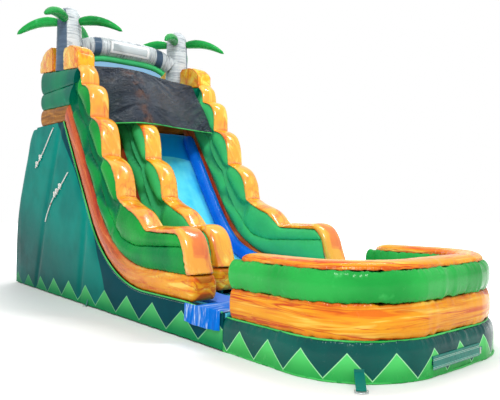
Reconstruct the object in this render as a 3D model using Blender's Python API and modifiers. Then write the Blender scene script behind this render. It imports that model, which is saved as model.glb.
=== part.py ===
"""Inflatable water slide: a tower with two palm trees, a climbing lane, a slide lane between
stair-stepped walls, and a round-ended splash pool.

Metres, +Z up. The pool end faces -Y, the tower stands at +Y, and the climbing lane is on the -X side.
The origin is on the ground, under the middle of the body.
Air-filled panels of the body are modelled as thin boards, and tubes and pillows as solids.
"""

import math

import bmesh
import bpy
from mathutils import Matrix, Vector

# Driving sizes of the body
HALF_WIDTH = 1.58
FRONT_Y = -5.27
REAR_Y = 5.24
GAP = 0.0003
SKIN = 0.04
SHEET = 0.02
SHEET_INSET = 0.03
TUBE_WIDTH = 0.42
SEAM_INSET = 0.04
INNER_X = HALF_WIDTH - TUBE_WIDTH
MIDDLE_WALL = (-0.73, -0.33)

# The guide line of the walls, in the side view: a straight slope, an arc and a flat run-out
SLOPE_ANGLE = math.radians(55.7)
BEND_RADIUS = 2.11
FLAT_HEIGHT = 0.85
GUIDE_TOP = (2.05, 3.78)

# Where the wall tubes meet the tower rails: heights of the four seams, and the lean of that joint
MITRE_LEAN = 0.66
MITRE_HEIGHTS = {"panel": 3.47, "strip": 3.78, "middle": 4.15, "upper": 4.42}
REAR_HEIGHTS = {"panel": 3.53, "strip": 3.89, "middle": 4.23, "upper": 4.72}
LEAN_REACH = 1.0
TOWER_REAR = 3.83
TOWER_CORNER = 0.30
TOWER_INNER_CORNER = 0.05
RAIL_START = 2.75
REAR_LINE = [(TOWER_REAR, 3.50), (4.15, 3.44), (4.45, 2.95), (4.98, 1.98), (5.18, 1.40), (REAR_Y, 0.80)]
PANEL_STEP_Y = -2.44

# Distance of each seam from the guide line, at distances along it
PANEL_OFFSET = -0.35
MIDDLE_SEAM = [(0.0, 0.41), (0.6, 0.28), (2.6, 0.25), (3.5, 0.22), (4.4, 0.33), (5.6, 0.38)]
STEP_TROUGHS = [(-0.60, 0.66), (0.10, 0.65), (0.88, 0.62), (1.78, 0.61), (2.85, 0.66), (4.42, 0.56)]
STEP_CRESTS = [(-0.18, 0.74), (0.43, 0.83), (1.27, 0.80), (2.25, 0.81), (3.80, 0.74)]
RUN_OUT_OFFSET = 0.545
SCALLOP_SHARE = 0.45

# Ends of the walls, as y
SIDE_WALL_END = -2.17
MIDDLE_WALL_END = -1.60
END_ROUND = 0.15
CAP_THICKNESS = (0.03, 0.08)
CAP_RISES = [(SEAM_INSET, 0.0), (0.006, 0.30), (0.055, 0.72), (0.15, 0.95)]
CAP_END = [(1.14, 1.45), (1.0, 1.6), (0.853, 1.35)]
STRIP_END = [(0.13, 1.0), (0.18, 0.86), (0.20, 0.62)]
WALL_LAYERS = [("strip", "panel", "strip"), ("lower_tube", "strip", "middle"),
               ("upper_tube", "middle", "upper")]
RUN_OUT_BLEND = 0.3
MITRE_BLEND = 0.1
LAST_SCALLOP = 2.85

# Slide bed and climbing ramp
BED_LINE = [(2.26, 3.43), (2.03, 3.37), (1.85, 3.12), (1.47, 2.56), (0.78, 1.55), (0.30, 1.03),
            (-0.14, 0.79), (-0.66, 0.65), (-1.30, 0.56), (-1.85, 0.49), (-2.3697, 0.47)]
BED_THICKNESS = 0.06
SIDE_TUBE_RADIUS = 0.13
SIDE_TUBE_SPAN = (3, 19)
STEP_RADIUS = 0.06
STEP_SPACING = 0.33
FIRST_STEP = 0.45
LOWEST_STEP_HEIGHT = 0.8
DECK = (2.2603, 3.74, 3.33, 3.43)

# Pool
POOL_REAR = -3.05
POOL_TUBE_WIDTH = 0.50
CORNER_X = 1.24
CORNER_Y = 1.13
CORNER_POWER = 2.15
CORNER_ANGLES = [0.0, 14.0, 28.0, 42.0, 56.0, 70.0, 81.6]
BASE_TOP = 0.405
LOWER_TUBE_TOP = 0.78
UPPER_TUBE_TOP = 1.12
RIM_TOP = 1.21
# Sections of the pool's tubes as (inset from the outline, share of height), and the rounding of their ends
BASE_SECTION = [(0.0, 0.0), (0.0, 0.76), (0.06, 1.0), (0.50, 1.0), (0.50, 0.0)]
LOWER_TUBE_SECTION = [(0.09, 0.0), (0.03, 0.22), (0.03, 0.78), (0.09, 1.0), (0.44, 1.0), (0.50, 0.75),
                      (0.50, 0.25), (0.44, 0.0)]
UPPER_TUBE_SECTION = [(0.09, 0.0), (0.03, 0.25), (0.04, 0.80), (0.11, 1.0), (0.44, 1.0), (0.50, 0.75),
                      (0.50, 0.25), (0.44, 0.0)]
RIM_SECTION = [(0.11, 0.0), (0.13, 0.45), (0.20, 0.95), (0.30, 1.0), (0.42, 0.75), (0.44, 0.0)]
LOWER_TUBE_END = ((0.0, 0.55), (0.03, 0.85), (0.09, 1.0))
UPPER_TUBE_END = ((-0.05, 0.50), (-0.01, 0.82), (0.10, 1.0))
RIM_END = ((0.12, 0.55), (0.17, 0.85), (0.26, 1.0))
POOL_FLOOR = (0.32, 0.38)
LANDING = (-3.0497, -2.3803, 0.47)
LANDING_THICKNESS = 0.06

# Towers' tops
POST_OUTLINE = [(-0.79, 0.12), (-0.78, 0.30), (-0.62, 0.44), (-0.42, 0.53), (-0.05, 0.55), (0.0, 0.48)]
FRONT_POST_Y = 2.42
REAR_POST_Y = 3.00
POST_DEPTH = 0.79
POST_SIDE_INSET = 0.02
TRUNK_X = 1.30
TRUNK_Y = 2.71
TRUNK_PROFILE = [(0.0, 5.93), (0.10, 5.915), (0.17, 5.865), (0.215, 5.78), (0.235, 5.66), (0.242, 5.45),
                 (0.25, 5.15), (0.262, 4.80), (0.268, 4.40), (0.0, 4.40)]
TRUNK_SIDES = 16
FROND_LENGTH = 1.13
FROND_ROOT_HEIGHT = 5.62
FROND_ROOT_RADIUS = 0.242
FROND_RISE = 0.20
FROND_DROOP = 0.42
FROND_STATIONS = [(0.0, 0.075, 0.072), (0.08, 0.105, 0.088), (0.25, 0.120, 0.100), (0.45, 0.115, 0.092),
                  (0.65, 0.098, 0.078), (0.83, 0.070, 0.058), (0.95, 0.040, 0.036), (1.0, 0.016, 0.016)]
FROND_ANGLES = (-134.0, -44.0, 46.0, 136.0)
ARCH_RADIUS = 0.20
ARCH_HEIGHTS = (5.20, 5.26)
ARCH_LOWER_RADIUS = 0.12

# Canopy: its rows from the top edge down, in the side view, at its left edge, ridge and right edge,
# and its columns as (x, how far it is lifted from the nearer edge to the ridge)
CANOPY_LEFT = [(1.86, 4.45), (1.67, 4.17), (1.47, 3.90), (1.25, 3.62), (1.02, 3.33)]
CANOPY_RIDGE = [(1.80, 4.61), (1.50, 4.47), (1.20, 4.30), (0.93, 4.00), (0.67, 3.345)]
CANOPY_RIGHT = [(1.86, 4.45), (1.60, 4.15), (1.34, 3.86), (1.08, 3.56), (0.82, 3.27)]
CANOPY_COLUMNS = [(-1.1594, 0.0), (-0.97, 0.45), (-0.77, 0.88), (-0.60, 0.98), (-0.45, 1.0), (-0.30, 0.93),
                  (0.05, 0.60), (0.60, 0.25), (1.1594, 0.0)]
CANOPY_DEPTH = (0.010, -0.014)

# Fittings
ROPE_RADIUS = 0.012
ROPE_SPACING = 0.06
UPPER_ROPE = [(2.76, 3.40), (3.08, 3.11), (3.42, 2.86), (3.78, 2.64)]
LOWER_ROPE = [(1.91, 2.44), (2.33, 2.17), (2.74, 1.92), (3.20, 1.47)]
MAT_X = (-1.5935, -0.95)
MAT_Y = (-3.02, -2.45)
MAT_THICKNESS = 0.025
FLAP_HINGE = (-1.604, 0.484)
FLAP_Y = (-3.02, -2.22)
FLAP_SECTION = [(0.006, -0.006), (0.006, 0.006), (0.0015, 0.010), (-0.006, 0.006), (-0.007, -0.244),
                (0.005, -0.244)]
ZIP_SPAN = (-0.545, 0.47)
ZIP_HEIGHT = 0.155
ZIP_HALF_HEIGHT = 0.02
ZIP_DEPTH = 0.006
SLIDER_X = 0.42
SLIDER_OUTLINE = [(-0.014, -0.055), (0.014, -0.055), (0.014, 0.012), (0.006, 0.018), (-0.006, 0.018),
                  (-0.014, 0.012)]
SLIDER_HALF_THICKNESS = 0.004
COVER_SPAN = (-0.545, 0.38)
COVER_BEAD = (0.215, 0.012)
COVER_TAIL = [(-0.0125, -0.13), (-0.0075, -0.13), (-0.0075, -0.02)]
INLET = (-0.95, 0.27)
INLET_RADIUS = 0.14
INLET_LENGTH = 0.055
INLET_WALL = 0.02
INLET_BEAD = 0.012
RING_WIRE = 0.005
RING_LENGTH = 0.056
SLEEVE_HEIGHT = 0.025
SLEEVE_RADIUS = 0.014
SLEEVE_BORE = 0.0065
FRONT_TAB = {"reach": 0.24, "half_width": 0.05, "root": (0.105, 0.125, 0.155)}
SIDE_TAB = {"reach": 0.05, "half_width": 0.022, "root": (0.125, 0.15, 0.19)}
SIDE_TAB_Y = 1.0

WHITE = (0.86, 0.86, 0.84)
STEEL = (0.62, 0.62, 0.62)
TEAL = (0.0, 0.26, 0.21)
DARK_TEAL = (0.0, 0.13, 0.13)
GREEN = (0.03, 0.36, 0.06)
LIGHT_GREEN = (0.08, 0.50, 0.13)
ORANGE = (0.90, 0.33, 0.03)
RED_ORANGE = (0.72, 0.17, 0.03)
YELLOW_ORANGE = (0.92, 0.47, 0.06)
TAN = (0.70, 0.44, 0.20)
BROWN = (0.33, 0.20, 0.10)
BLUE = (0.01, 0.14, 0.62)
CYAN = (0.06, 0.52, 0.85)
BLACK = (0.03, 0.03, 0.035)
GREY = (0.52, 0.53, 0.55)


def clear_scene():
    for thing in list(bpy.data.objects):
        bpy.data.objects.remove(thing, do_unlink=True)


def vinyl(name, colour, roughness=0.32, metallic=0.0):
    material = bpy.data.materials.new(name)
    material.use_nodes = True
    shader = material.node_tree.nodes["Principled BSDF"]
    shader.inputs["Base Color"].default_value = (*colour, 1.0)
    shader.inputs["Roughness"].default_value = roughness
    shader.inputs["Metallic"].default_value = metallic
    return material


def finish_object(name, data, material, collection="inflatable_slide"):
    made = bpy.data.objects.new(name, data)
    data.materials.append(material)
    bpy.data.collections[collection].objects.link(made)
    return made


def smooth_shading(mesh, angle=40.0):
    mesh.shade_smooth()
    mesh.set_sharp_from_angle(angle=math.radians(angle))


def smooth_line(points, steps):
    """Points on a smooth curve through the given ones, with `steps` for each stretch."""
    ends = [Vector(point) for point in points]
    padded = [2 * ends[0] - ends[1], *ends, 2 * ends[-1] - ends[-2]]
    line = []
    for before, start, end, after in zip(padded, padded[1:], padded[2:], padded[3:]):
        for step in range(steps):
            t = step / steps
            line.append(0.5 * (2 * start + (end - before) * t
                               + (2 * before - 5 * start + 4 * end - after) * t ** 2
                               + (3 * start - before - 3 * end + after) * t ** 3))
    return line + [ends[-1]]


def interpolate(pairs, place):
    """Value at `place` on the straight lines through (place, value) pairs."""
    if place <= pairs[0][0]:
        return pairs[0][1]
    for (low, first), (high, second) in zip(pairs, pairs[1:]):
        if place <= high:
            return first + (second - first) * (place - low) / (high - low)
    return pairs[-1][1]


def loft(name, rings, material, angle=40.0):
    """A closed skin over rings of equally many points, closed by a fan at each end."""
    form = bmesh.new()
    rows = [[form.verts.new(point) for point in ring] for ring in rings]
    for near, far in zip(rows, rows[1:]):
        for index, corner in enumerate(near):
            after = (index + 1) % len(near)
            form.faces.new((corner, near[after], far[after], far[index]))
    for row in (rows[0], rows[-1]):
        middle = sum((corner.co for corner in row), Vector()) / len(row)
        centre = form.verts.new(middle)
        for index, corner in enumerate(row):
            form.faces.new((corner, row[(index + 1) % len(row)], centre))
    bmesh.ops.recalc_face_normals(form, faces=form.faces)
    mesh = bpy.data.meshes.new(name)
    form.to_mesh(mesh)
    form.free()
    smooth_shading(mesh, angle)
    return finish_object(name, mesh, material)


def flat_curve(name, outlines):
    """A filled 2D curve from closed outlines; those after the first are holes."""
    curve = bpy.data.curves.new(name, "CURVE")
    curve.dimensions = "2D"
    curve.fill_mode = "BOTH"
    for outline in outlines:
        spline = curve.splines.new("POLY")
        spline.points.add(len(outline) - 1)
        for point, (x, y) in zip(spline.points, outline):
            point.co = (x, y, 0.0, 1.0)
        spline.use_cyclic_u = True
    return curve


def side_board(name, outline, x_low, x_high, material):
    """A board cut to a side-view outline of (y, z) points, between two x places."""
    curve = flat_curve(name, [outline])
    curve.extrude = (x_high - x_low) / 2
    board = finish_object(name, curve, material)
    board.rotation_euler = (math.pi / 2, 0.0, math.pi / 2)
    board.location.x = (x_low + x_high) / 2
    return board


def plan_board(name, outline, z_low, z_high, material):
    """A slab cut to a plan outline of (x, y) points, between two heights."""
    curve = flat_curve(name, [outline])
    curve.extrude = (z_high - z_low) / 2
    slab = finish_object(name, curve, material)
    slab.location.z = (z_low + z_high) / 2
    return slab


def mesh_of(thing):
    """The object as a mesh object whose loose caps are welded; the first object is removed."""
    bpy.context.view_layer.update()
    graph = bpy.context.evaluated_depsgraph_get()
    mesh = bpy.data.meshes.new_from_object(thing.evaluated_get(graph))
    form = bmesh.new()
    form.from_mesh(mesh)
    bmesh.ops.remove_doubles(form, verts=form.verts, dist=0.00005)
    form.to_mesh(mesh)
    form.free()
    name = thing.name
    place = thing.matrix_world.copy()
    home = thing.users_collection[0]
    bpy.data.objects.remove(thing, do_unlink=True)
    made = bpy.data.objects.new(name, mesh)
    made.name = name
    made.matrix_world = place
    home.objects.link(made)
    return made


def soften(thing, width, segments=2):
    bevel = thing.modifiers.new("rounded_edges", "BEVEL")
    bevel.width = width
    bevel.segments = segments
    bevel.limit_method = "ANGLE"
    bevel.angle_limit = math.radians(35.0)
    return thing


def slope_direction():
    return Vector((-math.cos(SLOPE_ANGLE), -math.sin(SLOPE_ANGLE)))


def guide_lengths():
    """Length of the straight slope, and how far down it starts to bend."""
    tangent = BEND_RADIUS * math.tan(SLOPE_ANGLE / 2)
    straight = (GUIDE_TOP[1] - FLAT_HEIGHT) / math.sin(SLOPE_ANGLE) - tangent
    return straight, BEND_RADIUS * SLOPE_ANGLE


def guide(distance):
    """Point (y, z) on the guide line and the unit normal that faces out of the body."""
    straight, bend = guide_lengths()
    top = Vector(GUIDE_TOP)
    if distance <= straight:
        angle = SLOPE_ANGLE
        point = top + slope_direction() * distance
    else:
        bend_start = top + slope_direction() * straight
        centre = bend_start + BEND_RADIUS * Vector((-math.sin(SLOPE_ANGLE), math.cos(SLOPE_ANGLE)))
        angle = max(SLOPE_ANGLE - (distance - straight) / BEND_RADIUS, 0.0)
        point = centre + BEND_RADIUS * Vector((math.sin(angle), -math.cos(angle)))
        point.x -= max(distance - straight - bend, 0.0)
    return point, Vector((-math.sin(angle), math.cos(angle)))


def run_out_distance(y):
    """Distance along the guide line at which it reaches y on the flat run-out."""
    straight, bend = guide_lengths()
    flat_start, _ = guide(straight + bend)
    return straight + bend + flat_start.x - y


def step_wave(distance):
    """Offset of the cap's seam: rounded crests, and a sharp trough at each cross seam."""
    corners = sorted(STEP_TROUGHS + STEP_CRESTS)
    end, end_offset = corners[-1]
    if distance >= end:
        blend = min((distance - end) / RUN_OUT_BLEND, 1.0)
        return end_offset + (RUN_OUT_OFFSET - end_offset) * blend
    near, far = next(pair for pair in zip(corners, corners[1:]) if distance <= pair[1][0])
    low, high = (near, far) if near in STEP_TROUGHS else (far, near)
    share = (distance - low[0]) / (high[0] - low[0])
    return low[1] + (high[1] - low[1]) * math.sin(share * math.pi / 2)


def crest_share(distance):
    """0 at a trough of the steps and 1 at a crest."""
    troughs = [place for place, _ in STEP_TROUGHS]
    crests = [place for place, _ in STEP_CRESTS]
    if distance >= troughs[-1]:
        return 1.0 if distance > troughs[-1] + 0.25 else (distance - troughs[-1]) / 0.25
    trough = min(troughs, key=lambda place: abs(place - distance))
    crest = min(crests, key=lambda place: abs(place - distance))
    share = abs(distance - trough) / max(abs(crest - trough), 0.001)
    return math.sin(min(share, 1.0) * math.pi / 2)


def mitre_point(height):
    return Vector((GUIDE_TOP[0] - MITRE_LEAN * (height - GUIDE_TOP[1]), height))


def mitre_lean(seam):
    """Distance along the guide line of a seam's upper end; it is negative above the line's start."""
    return (mitre_point(MITRE_HEIGHTS[seam]) - Vector(GUIDE_TOP)).dot(slope_direction())


def leaning_place(distance, lean):
    """Where a station lies on the guide line, once those near the tower lean into the mitre."""
    return distance if distance >= LEAN_REACH else lean + distance * (1 - lean / LEAN_REACH)


def seam_offset(seam, distance):
    if seam == "panel":
        return PANEL_OFFSET
    if seam == "strip":
        return 0.0
    if seam == "upper":
        return step_wave(distance)
    wave = step_wave(distance) - STEP_TROUGHS[2][1] if distance < LAST_SCALLOP else 0.0
    return interpolate(MIDDLE_SEAM, distance) + SCALLOP_SHARE * wave


def seam_point(seam, distance, shift=0.0):
    """Point (y, z) of a seam at a station; `shift` moves it along the normal, to leave a gap.

    The stations near the tower lean over, so that the first lies in the mitre with the rails.
    """
    start = mitre_point(MITRE_HEIGHTS[seam]) - Vector(GUIDE_TOP)
    place = leaning_place(distance, mitre_lean(seam))
    point, normal = guide(place)
    blend = min(distance / MITRE_BLEND, 1.0)
    offset = start.dot(normal) * (1 - blend) + seam_offset(seam, place) * blend
    return point + normal * (offset + shift)


def wall_stations(first, last):
    """Distances along the guide for the rings of a wall: the crests and troughs, and points between."""
    straight, bend = guide_lengths()
    lean = mitre_lean("upper")
    corners = [place for place, _ in sorted(STEP_TROUGHS + STEP_CRESTS) if place > lean]
    places = [corners[-1]]
    for near, far in zip(corners, corners[1:]):
        places += [near, (near + far) / 2]
    stations = [straight + bend + 0.1]
    for place in places:
        stations.append(place if place >= LEAN_REACH else (place - lean) / (1 - lean / LEAN_REACH))
    inside = [place for place in sorted(stations) if first < place < last - END_ROUND - 0.08]
    return [first, *inside, last - END_ROUND, last - 0.35 * END_ROUND, last]


def end_drop(distance, last):
    """How far the top of the upper tube rounds down towards the wall's end."""
    run = max(distance - (last - END_ROUND), 0.0)
    return END_ROUND - math.sqrt(max(END_ROUND ** 2 - run ** 2, 0.0))


def tube_ring(x_low, x_high, low, high):
    """Eight points round a wall tube whose flat seams run through `low` and `high`."""
    low, high = Vector(low), Vector(high)
    sides = [(x_low + SEAM_INSET, 0.0), (x_low, 0.28), (x_low, 0.72), (x_low + SEAM_INSET, 1.0),
             (x_high - SEAM_INSET, 1.0), (x_high, 0.72), (x_high, 0.28), (x_high - SEAM_INSET, 0.0)]
    ring = []
    for x, share in sides:
        y, z = low + (high - low) * share
        ring.append((x, y, z))
    return ring


def wall_tubes(side, x_low, x_high, first, end_y, materials):
    """The strip, the two green tubes and the stepped cap of one wall."""
    last = run_out_distance(end_y)
    stations = wall_stations(first, last)
    for layer, low_seam, high_seam in WALL_LAYERS:
        rings = []
        for distance in stations:
            low = seam_point(low_seam, distance, GAP / 2)
            high = seam_point(high_seam, distance, -GAP / 2)
            if layer == "upper_tube":
                high.y -= end_drop(distance, last)
            rings.append(tube_ring(x_low, x_high, low, high))
        if layer == "strip":
            rings += strip_end(x_low, x_high, end_y)
        loft(f"{side}_wall_{layer}", rings, materials[layer])
    wall_cap(side, x_low, x_high, stations, last, end_y, materials["cap"])


def strip_end(x_low, x_high, end_y):
    """Rings that carry the strip on under the end of the cap, and round it off."""
    rings = []
    low = Vector((end_y, FLAT_HEIGHT + PANEL_OFFSET + GAP / 2))
    high = Vector((end_y, FLAT_HEIGHT - GAP / 2))
    middle = (low + high) / 2
    centre = (x_low + x_high) / 2
    for reach, share in STRIP_END:
        half_width = (x_high - x_low) / 2 * (0.5 + share / 2)
        forward = Vector((-reach, 0.0))
        rings.append(tube_ring(centre - half_width, centre + half_width,
                               middle + (low - middle) * share + forward,
                               middle + (high - middle) * share + forward))
    return rings


def cap_ring(x_low, x_high, base, normal, thickness):
    """Nine points round the cap: a flat underside at `base` and a pillow that rises along `normal`."""
    points = [(x_low + inset, rise) for inset, rise in CAP_RISES]
    points.append(((x_low + x_high) / 2, 1.0))
    points += [(x_high - inset, rise) for inset, rise in reversed(CAP_RISES)]
    ring = []
    for x, rise in points:
        y, z = base + normal * (thickness * rise)
        ring.append((x, y, z))
    return ring


def wall_cap(side, x_low, x_high, stations, last, end_y, material):
    """The stair-stepped cap: pillows between cross seams, then down over the wall's end."""
    rings = []
    thin, thick = CAP_THICKNESS
    for distance in stations:
        base = seam_point("upper", distance, GAP / 2)
        base.y -= end_drop(distance, last)
        place = leaning_place(distance, mitre_lean("upper"))
        _, normal = guide(place)
        if distance == 0.0:
            normal = Vector((-MITRE_LEAN, 1.0)).normalized()
        turn = max(distance - (last - END_ROUND), 0.0) / END_ROUND
        normal = Matrix.Rotation(turn * math.pi / 2, 2) @ normal
        base += normal * GAP * (1.0 if turn > 0 else 0.0)
        rings.append(cap_ring(x_low, x_high, base, normal, thin + (thick - thin) * crest_share(place)))
    for height, share in CAP_END:
        base = Vector((end_y - GAP, height))
        rings.append(cap_ring(x_low, x_high, base, Vector((-1.0, 0.0)), thick * share))
    loft(f"{side}_wall_cap", rings, material, angle=50.0)


def rail_height(seam, y, shift=0.0):
    """Height of a rail seam: it climbs evenly from the mitre to the tower's rear."""
    start = mitre_point(MITRE_HEIGHTS[seam])
    slope = (REAR_HEIGHTS[seam] - start.y) / (TOWER_REAR - start.x)
    return start.y + slope * (y - start.x) + shift


def rail_plan():
    """Pairs of plan points, on the rails' outside and inside, from the left side round to the right."""
    pairs = [(Vector((-HALF_WIDTH, RAIL_START)), Vector((-INNER_X, RAIL_START)))]
    outer_centre = Vector((-HALF_WIDTH + TOWER_CORNER, TOWER_REAR - TOWER_CORNER))
    inner_rear = TOWER_REAR - TUBE_WIDTH
    inner_centre = Vector((-INNER_X + TOWER_INNER_CORNER, inner_rear - TOWER_INNER_CORNER))
    for degrees in (0.0, 30.0, 60.0, 90.0):
        angle = math.radians(degrees)
        outward = Vector((-math.cos(angle), math.sin(angle)))
        pairs.append((outer_centre + outward * TOWER_CORNER, inner_centre + outward * TOWER_INNER_CORNER))
    flip = Vector((-1.0, 1.0))
    return pairs + [(outer * flip, inner * flip) for outer, inner in reversed(pairs)]


def rail(name, low_seam, high_seam, material):
    """One inflated rail round the tower, U-shaped in plan, mitred to the wall tubes."""
    outside = [(SEAM_INSET, 0.0), (0.0, 0.28), (0.0, 0.72), (SEAM_INSET, 1.0)]
    shares = outside + [(TUBE_WIDTH - depth, share) for depth, share in reversed(outside)]
    rings = []
    for outer, inner in rail_plan():
        ring = []
        for depth, share in shares:
            x, y = outer.lerp(inner, depth / TUBE_WIDTH)
            low = rail_height(low_seam, y, GAP / 2)
            high = rail_height(high_seam, y, -GAP / 2)
            ring.append((x, y, low + (high - low) * share))
        rings.append(ring)
    low = mitre_point(MITRE_HEIGHTS[low_seam] + GAP / 2)
    high = mitre_point(MITRE_HEIGHTS[high_seam] - GAP / 2)
    for side in (-1, 1):
        ring = []
        for depth, share in shares:
            y, z = low + (high - low) * share
            ring.append((side * (HALF_WIDTH - depth), y + 2 * GAP, z))
        rings = [ring, *rings] if side < 0 else [*rings, ring]
    return loft(name, rings, material)


def rear_line():
    """The rear of the body in the side view, from under the rails down to the ground."""
    return smooth_line(REAR_LINE, 2) + [Vector((REAR_Y, SHEET + GAP))]


def panel_seam_line(stations, shift):
    line = []
    for distance in stations:
        y, z = seam_point("panel", distance, shift)
        line.append((y, z))
    return line


def side_panels(material):
    """The big triangular side of the body, with its upper edge along the strip's seam."""
    last = run_out_distance(SIDE_WALL_END)
    seam = panel_seam_line(wall_stations(0.0, last), -GAP / 2)
    rails = [(y, rail_height("panel", y, -GAP / 2)) for y in (RAIL_START, TOWER_REAR)]
    front = [(POOL_REAR + GAP, SHEET + GAP), (POOL_REAR + GAP, LANDING[2]), (PANEL_STEP_Y, LANDING[2])]
    rear = [(y, z) for y, z in rear_line()]
    outline = front + list(reversed(seam)) + rails + rear
    for side, sign in (("left", -1), ("right", 1)):
        inner, outer = sign * (HALF_WIDTH - SKIN), sign * HALF_WIDTH
        side_board(f"side_panel_{side}", outline, min(inner, outer), max(inner, outer), material)


def back_panel(material):
    outer = [Vector(point) for point in rear_line()]
    inner = []
    for index, point in enumerate(outer):
        before = outer[max(index - 1, 0)]
        after = outer[min(index + 1, len(outer) - 1)]
        along = (after - before).normalized()
        inner.append(point + Vector((along.y, -along.x)) * SKIN)
    outline = [tuple(point) for point in outer] + [tuple(point) for point in reversed(inner)]
    half = HALF_WIDTH - SKIN - GAP
    side_board("back_panel", outline, -half, half, material)


def bed_stations():
    return smooth_line(BED_LINE, 2)


def offset_line(line, distance):
    """The line moved square to itself, to its upper side where `distance` is positive."""
    moved = []
    for index, point in enumerate(line):
        before = line[max(index - 1, 0)]
        after = line[min(index + 1, len(line) - 1)]
        along = (after - before).normalized()
        moved.append(point + Vector((along.y, -along.x)) * distance)
    return moved


def slide_bed(material):
    top = bed_stations()
    below = offset_line(top, -BED_THICKNESS)
    below[0].x = top[0].x
    below[-1].x = top[-1].x
    outline = [tuple(point) for point in top] + [tuple(point) for point in reversed(below)]
    side_board("slide_bed", outline, MIDDLE_WALL[1] + GAP, INNER_X - GAP, material)


def ladder_ramp(material):
    """The climbing lane: the bed's slope with a half-round foot roll at even spacing."""
    base = bed_stations()
    top = []
    walked = 0.0
    next_step = FIRST_STEP
    for start, end in zip(base, base[1:]):
        top.append(tuple(start))
        length = (end - start).length
        along = (end - start).normalized()
        normal = Vector((along.y, -along.x))
        low_down = end.y <= LOWEST_STEP_HEIGHT
        while next_step + STEP_RADIUS < walked + length and next_step - STEP_RADIUS > walked and not low_down:
            middle = start + along * (next_step - walked)
            for degrees in (180, 144, 108, 72, 36, 0):
                angle = math.radians(degrees)
                top.append(tuple(middle + (along * math.cos(angle) + normal * math.sin(angle)) * STEP_RADIUS))
            next_step += STEP_SPACING
        if next_step - STEP_RADIUS <= walked + length < next_step + STEP_RADIUS or low_down:
            next_step = max(next_step, walked + length + STEP_RADIUS + 0.01)
        walked += length
    top.append(tuple(base[-1]))
    below = offset_line(base, -BED_THICKNESS)
    below[0].x = base[0].x
    below[-1].x = base[-1].x
    outline = top + [tuple(point) for point in reversed(below)]
    side_board("ladder_ramp", outline, -INNER_X + GAP, MIDDLE_WALL[0] - GAP, material)


def slide_side_tubes(material):
    """The inflated tubes along both edges of the slide bed."""
    first, last = SIDE_TUBE_SPAN
    flat = SIDE_TUBE_RADIUS * math.cos(math.pi / 8)
    line = offset_line(bed_stations(), flat + GAP)[first:last]
    normals = [upper - lower for upper, lower in zip(line, bed_stations()[first:last])]
    places = {"left": MIDDLE_WALL[1] + flat + GAP, "right": INNER_X - flat - GAP}
    for side, x in places.items():
        rings = []
        for point, normal in zip(line, normals):
            out = normal.normalized()
            ring = []
            for corner in range(8):
                angle = math.radians(22.5 + 45 * corner)
                y, z = point + out * (SIDE_TUBE_RADIUS * math.sin(angle))
                ring.append((x + SIDE_TUBE_RADIUS * math.cos(angle), y, z))
            rings.append(ring)
        loft(f"slide_side_tube_{side}", rings, material, angle=60.0)


def tower_deck(material):
    y_low, y_high, z_low, z_high = DECK
    half = HALF_WIDTH - SKIN - GAP
    outline = [(-half, y_low), (half, y_low), (half, y_high), (-half, y_high)]
    plan_board("tower_deck", outline, z_low, z_high, material)


def centre_baffle(material):
    """The inner wall that holds the body's shape under the middle wall."""
    last = run_out_distance(MIDDLE_WALL_END)
    stations = [place for place in wall_stations(0.0, last) if place > 0.35]
    seam = panel_seam_line(stations, -GAP)
    rear = [(DECK[1], SHEET + GAP), (DECK[1], DECK[2] - GAP), (seam[0][0] + 0.30, DECK[2] - GAP)]
    outline = [(seam[-1][0], SHEET + GAP), *rear, *seam]
    middle = sum(MIDDLE_WALL) / 2
    side_board("centre_baffle", outline, middle - SKIN / 2, middle + SKIN / 2, material)


def pool_outline(inset=0.0, rear=POOL_REAR):
    """Plan points of the pool's outside, moved in by `inset`, from the left rear round to the right rear."""
    quarter = []
    for degrees in CORNER_ANGLES:
        cosine = math.cos(math.radians(degrees))
        sine = math.sin(math.radians(degrees))
        x = -(HALF_WIDTH - CORNER_X) - CORNER_X * cosine ** (2 / CORNER_POWER)
        y = FRONT_Y + CORNER_Y - CORNER_Y * sine ** (2 / CORNER_POWER)
        outward = Vector((-(cosine ** (2 - 2 / CORNER_POWER)) / CORNER_X,
                          -(sine ** (2 - 2 / CORNER_POWER)) / CORNER_Y)).normalized()
        quarter.append(Vector((x, y)) - outward * inset)
    left = [Vector((-HALF_WIDTH + inset, rear)), *quarter]
    return left + [Vector((-point.x, point.y)) for point in reversed(left)]


def pool_tube(name, z_low, z_high, section, material, rounding=()):
    """A U-shaped tube round the pool; `section` lists (inset, share of height) points.

    Each entry of `rounding` is (distance from the tube's end, size there), for a rounded end.
    """
    insets = [inset for inset, _ in section]
    middle = (min(insets) + max(insets)) / 2
    plans = {inset: pool_outline(inset) for inset in set(insets)}
    centre_height = (z_low + z_high) / 2
    count = len(pool_outline())
    rings = []
    for index in range(count):
        ring = []
        for inset, share in section:
            x, y = plans[inset][index]
            ring.append(Vector((x, y, z_low + (z_high - z_low) * share)))
        rings.append(ring)
    if rounding:
        for at_end in (0, -1):
            sign = -1 if at_end == 0 else 1
            centre = Vector((sign * (HALF_WIDTH - middle), POOL_REAR, centre_height))
            extra = []
            for distance, size in rounding:
                extra.append([Vector((centre.x + (point.x - centre.x) * size, POOL_REAR - distance,
                                      centre.z + (point.z - centre.z) * size)) for point in rings[at_end]])
            if at_end == 0:
                rings = extra + rings[1:]
            else:
                rings = rings[:-1] + list(reversed(extra))
    return loft(name, rings, material)


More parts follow.
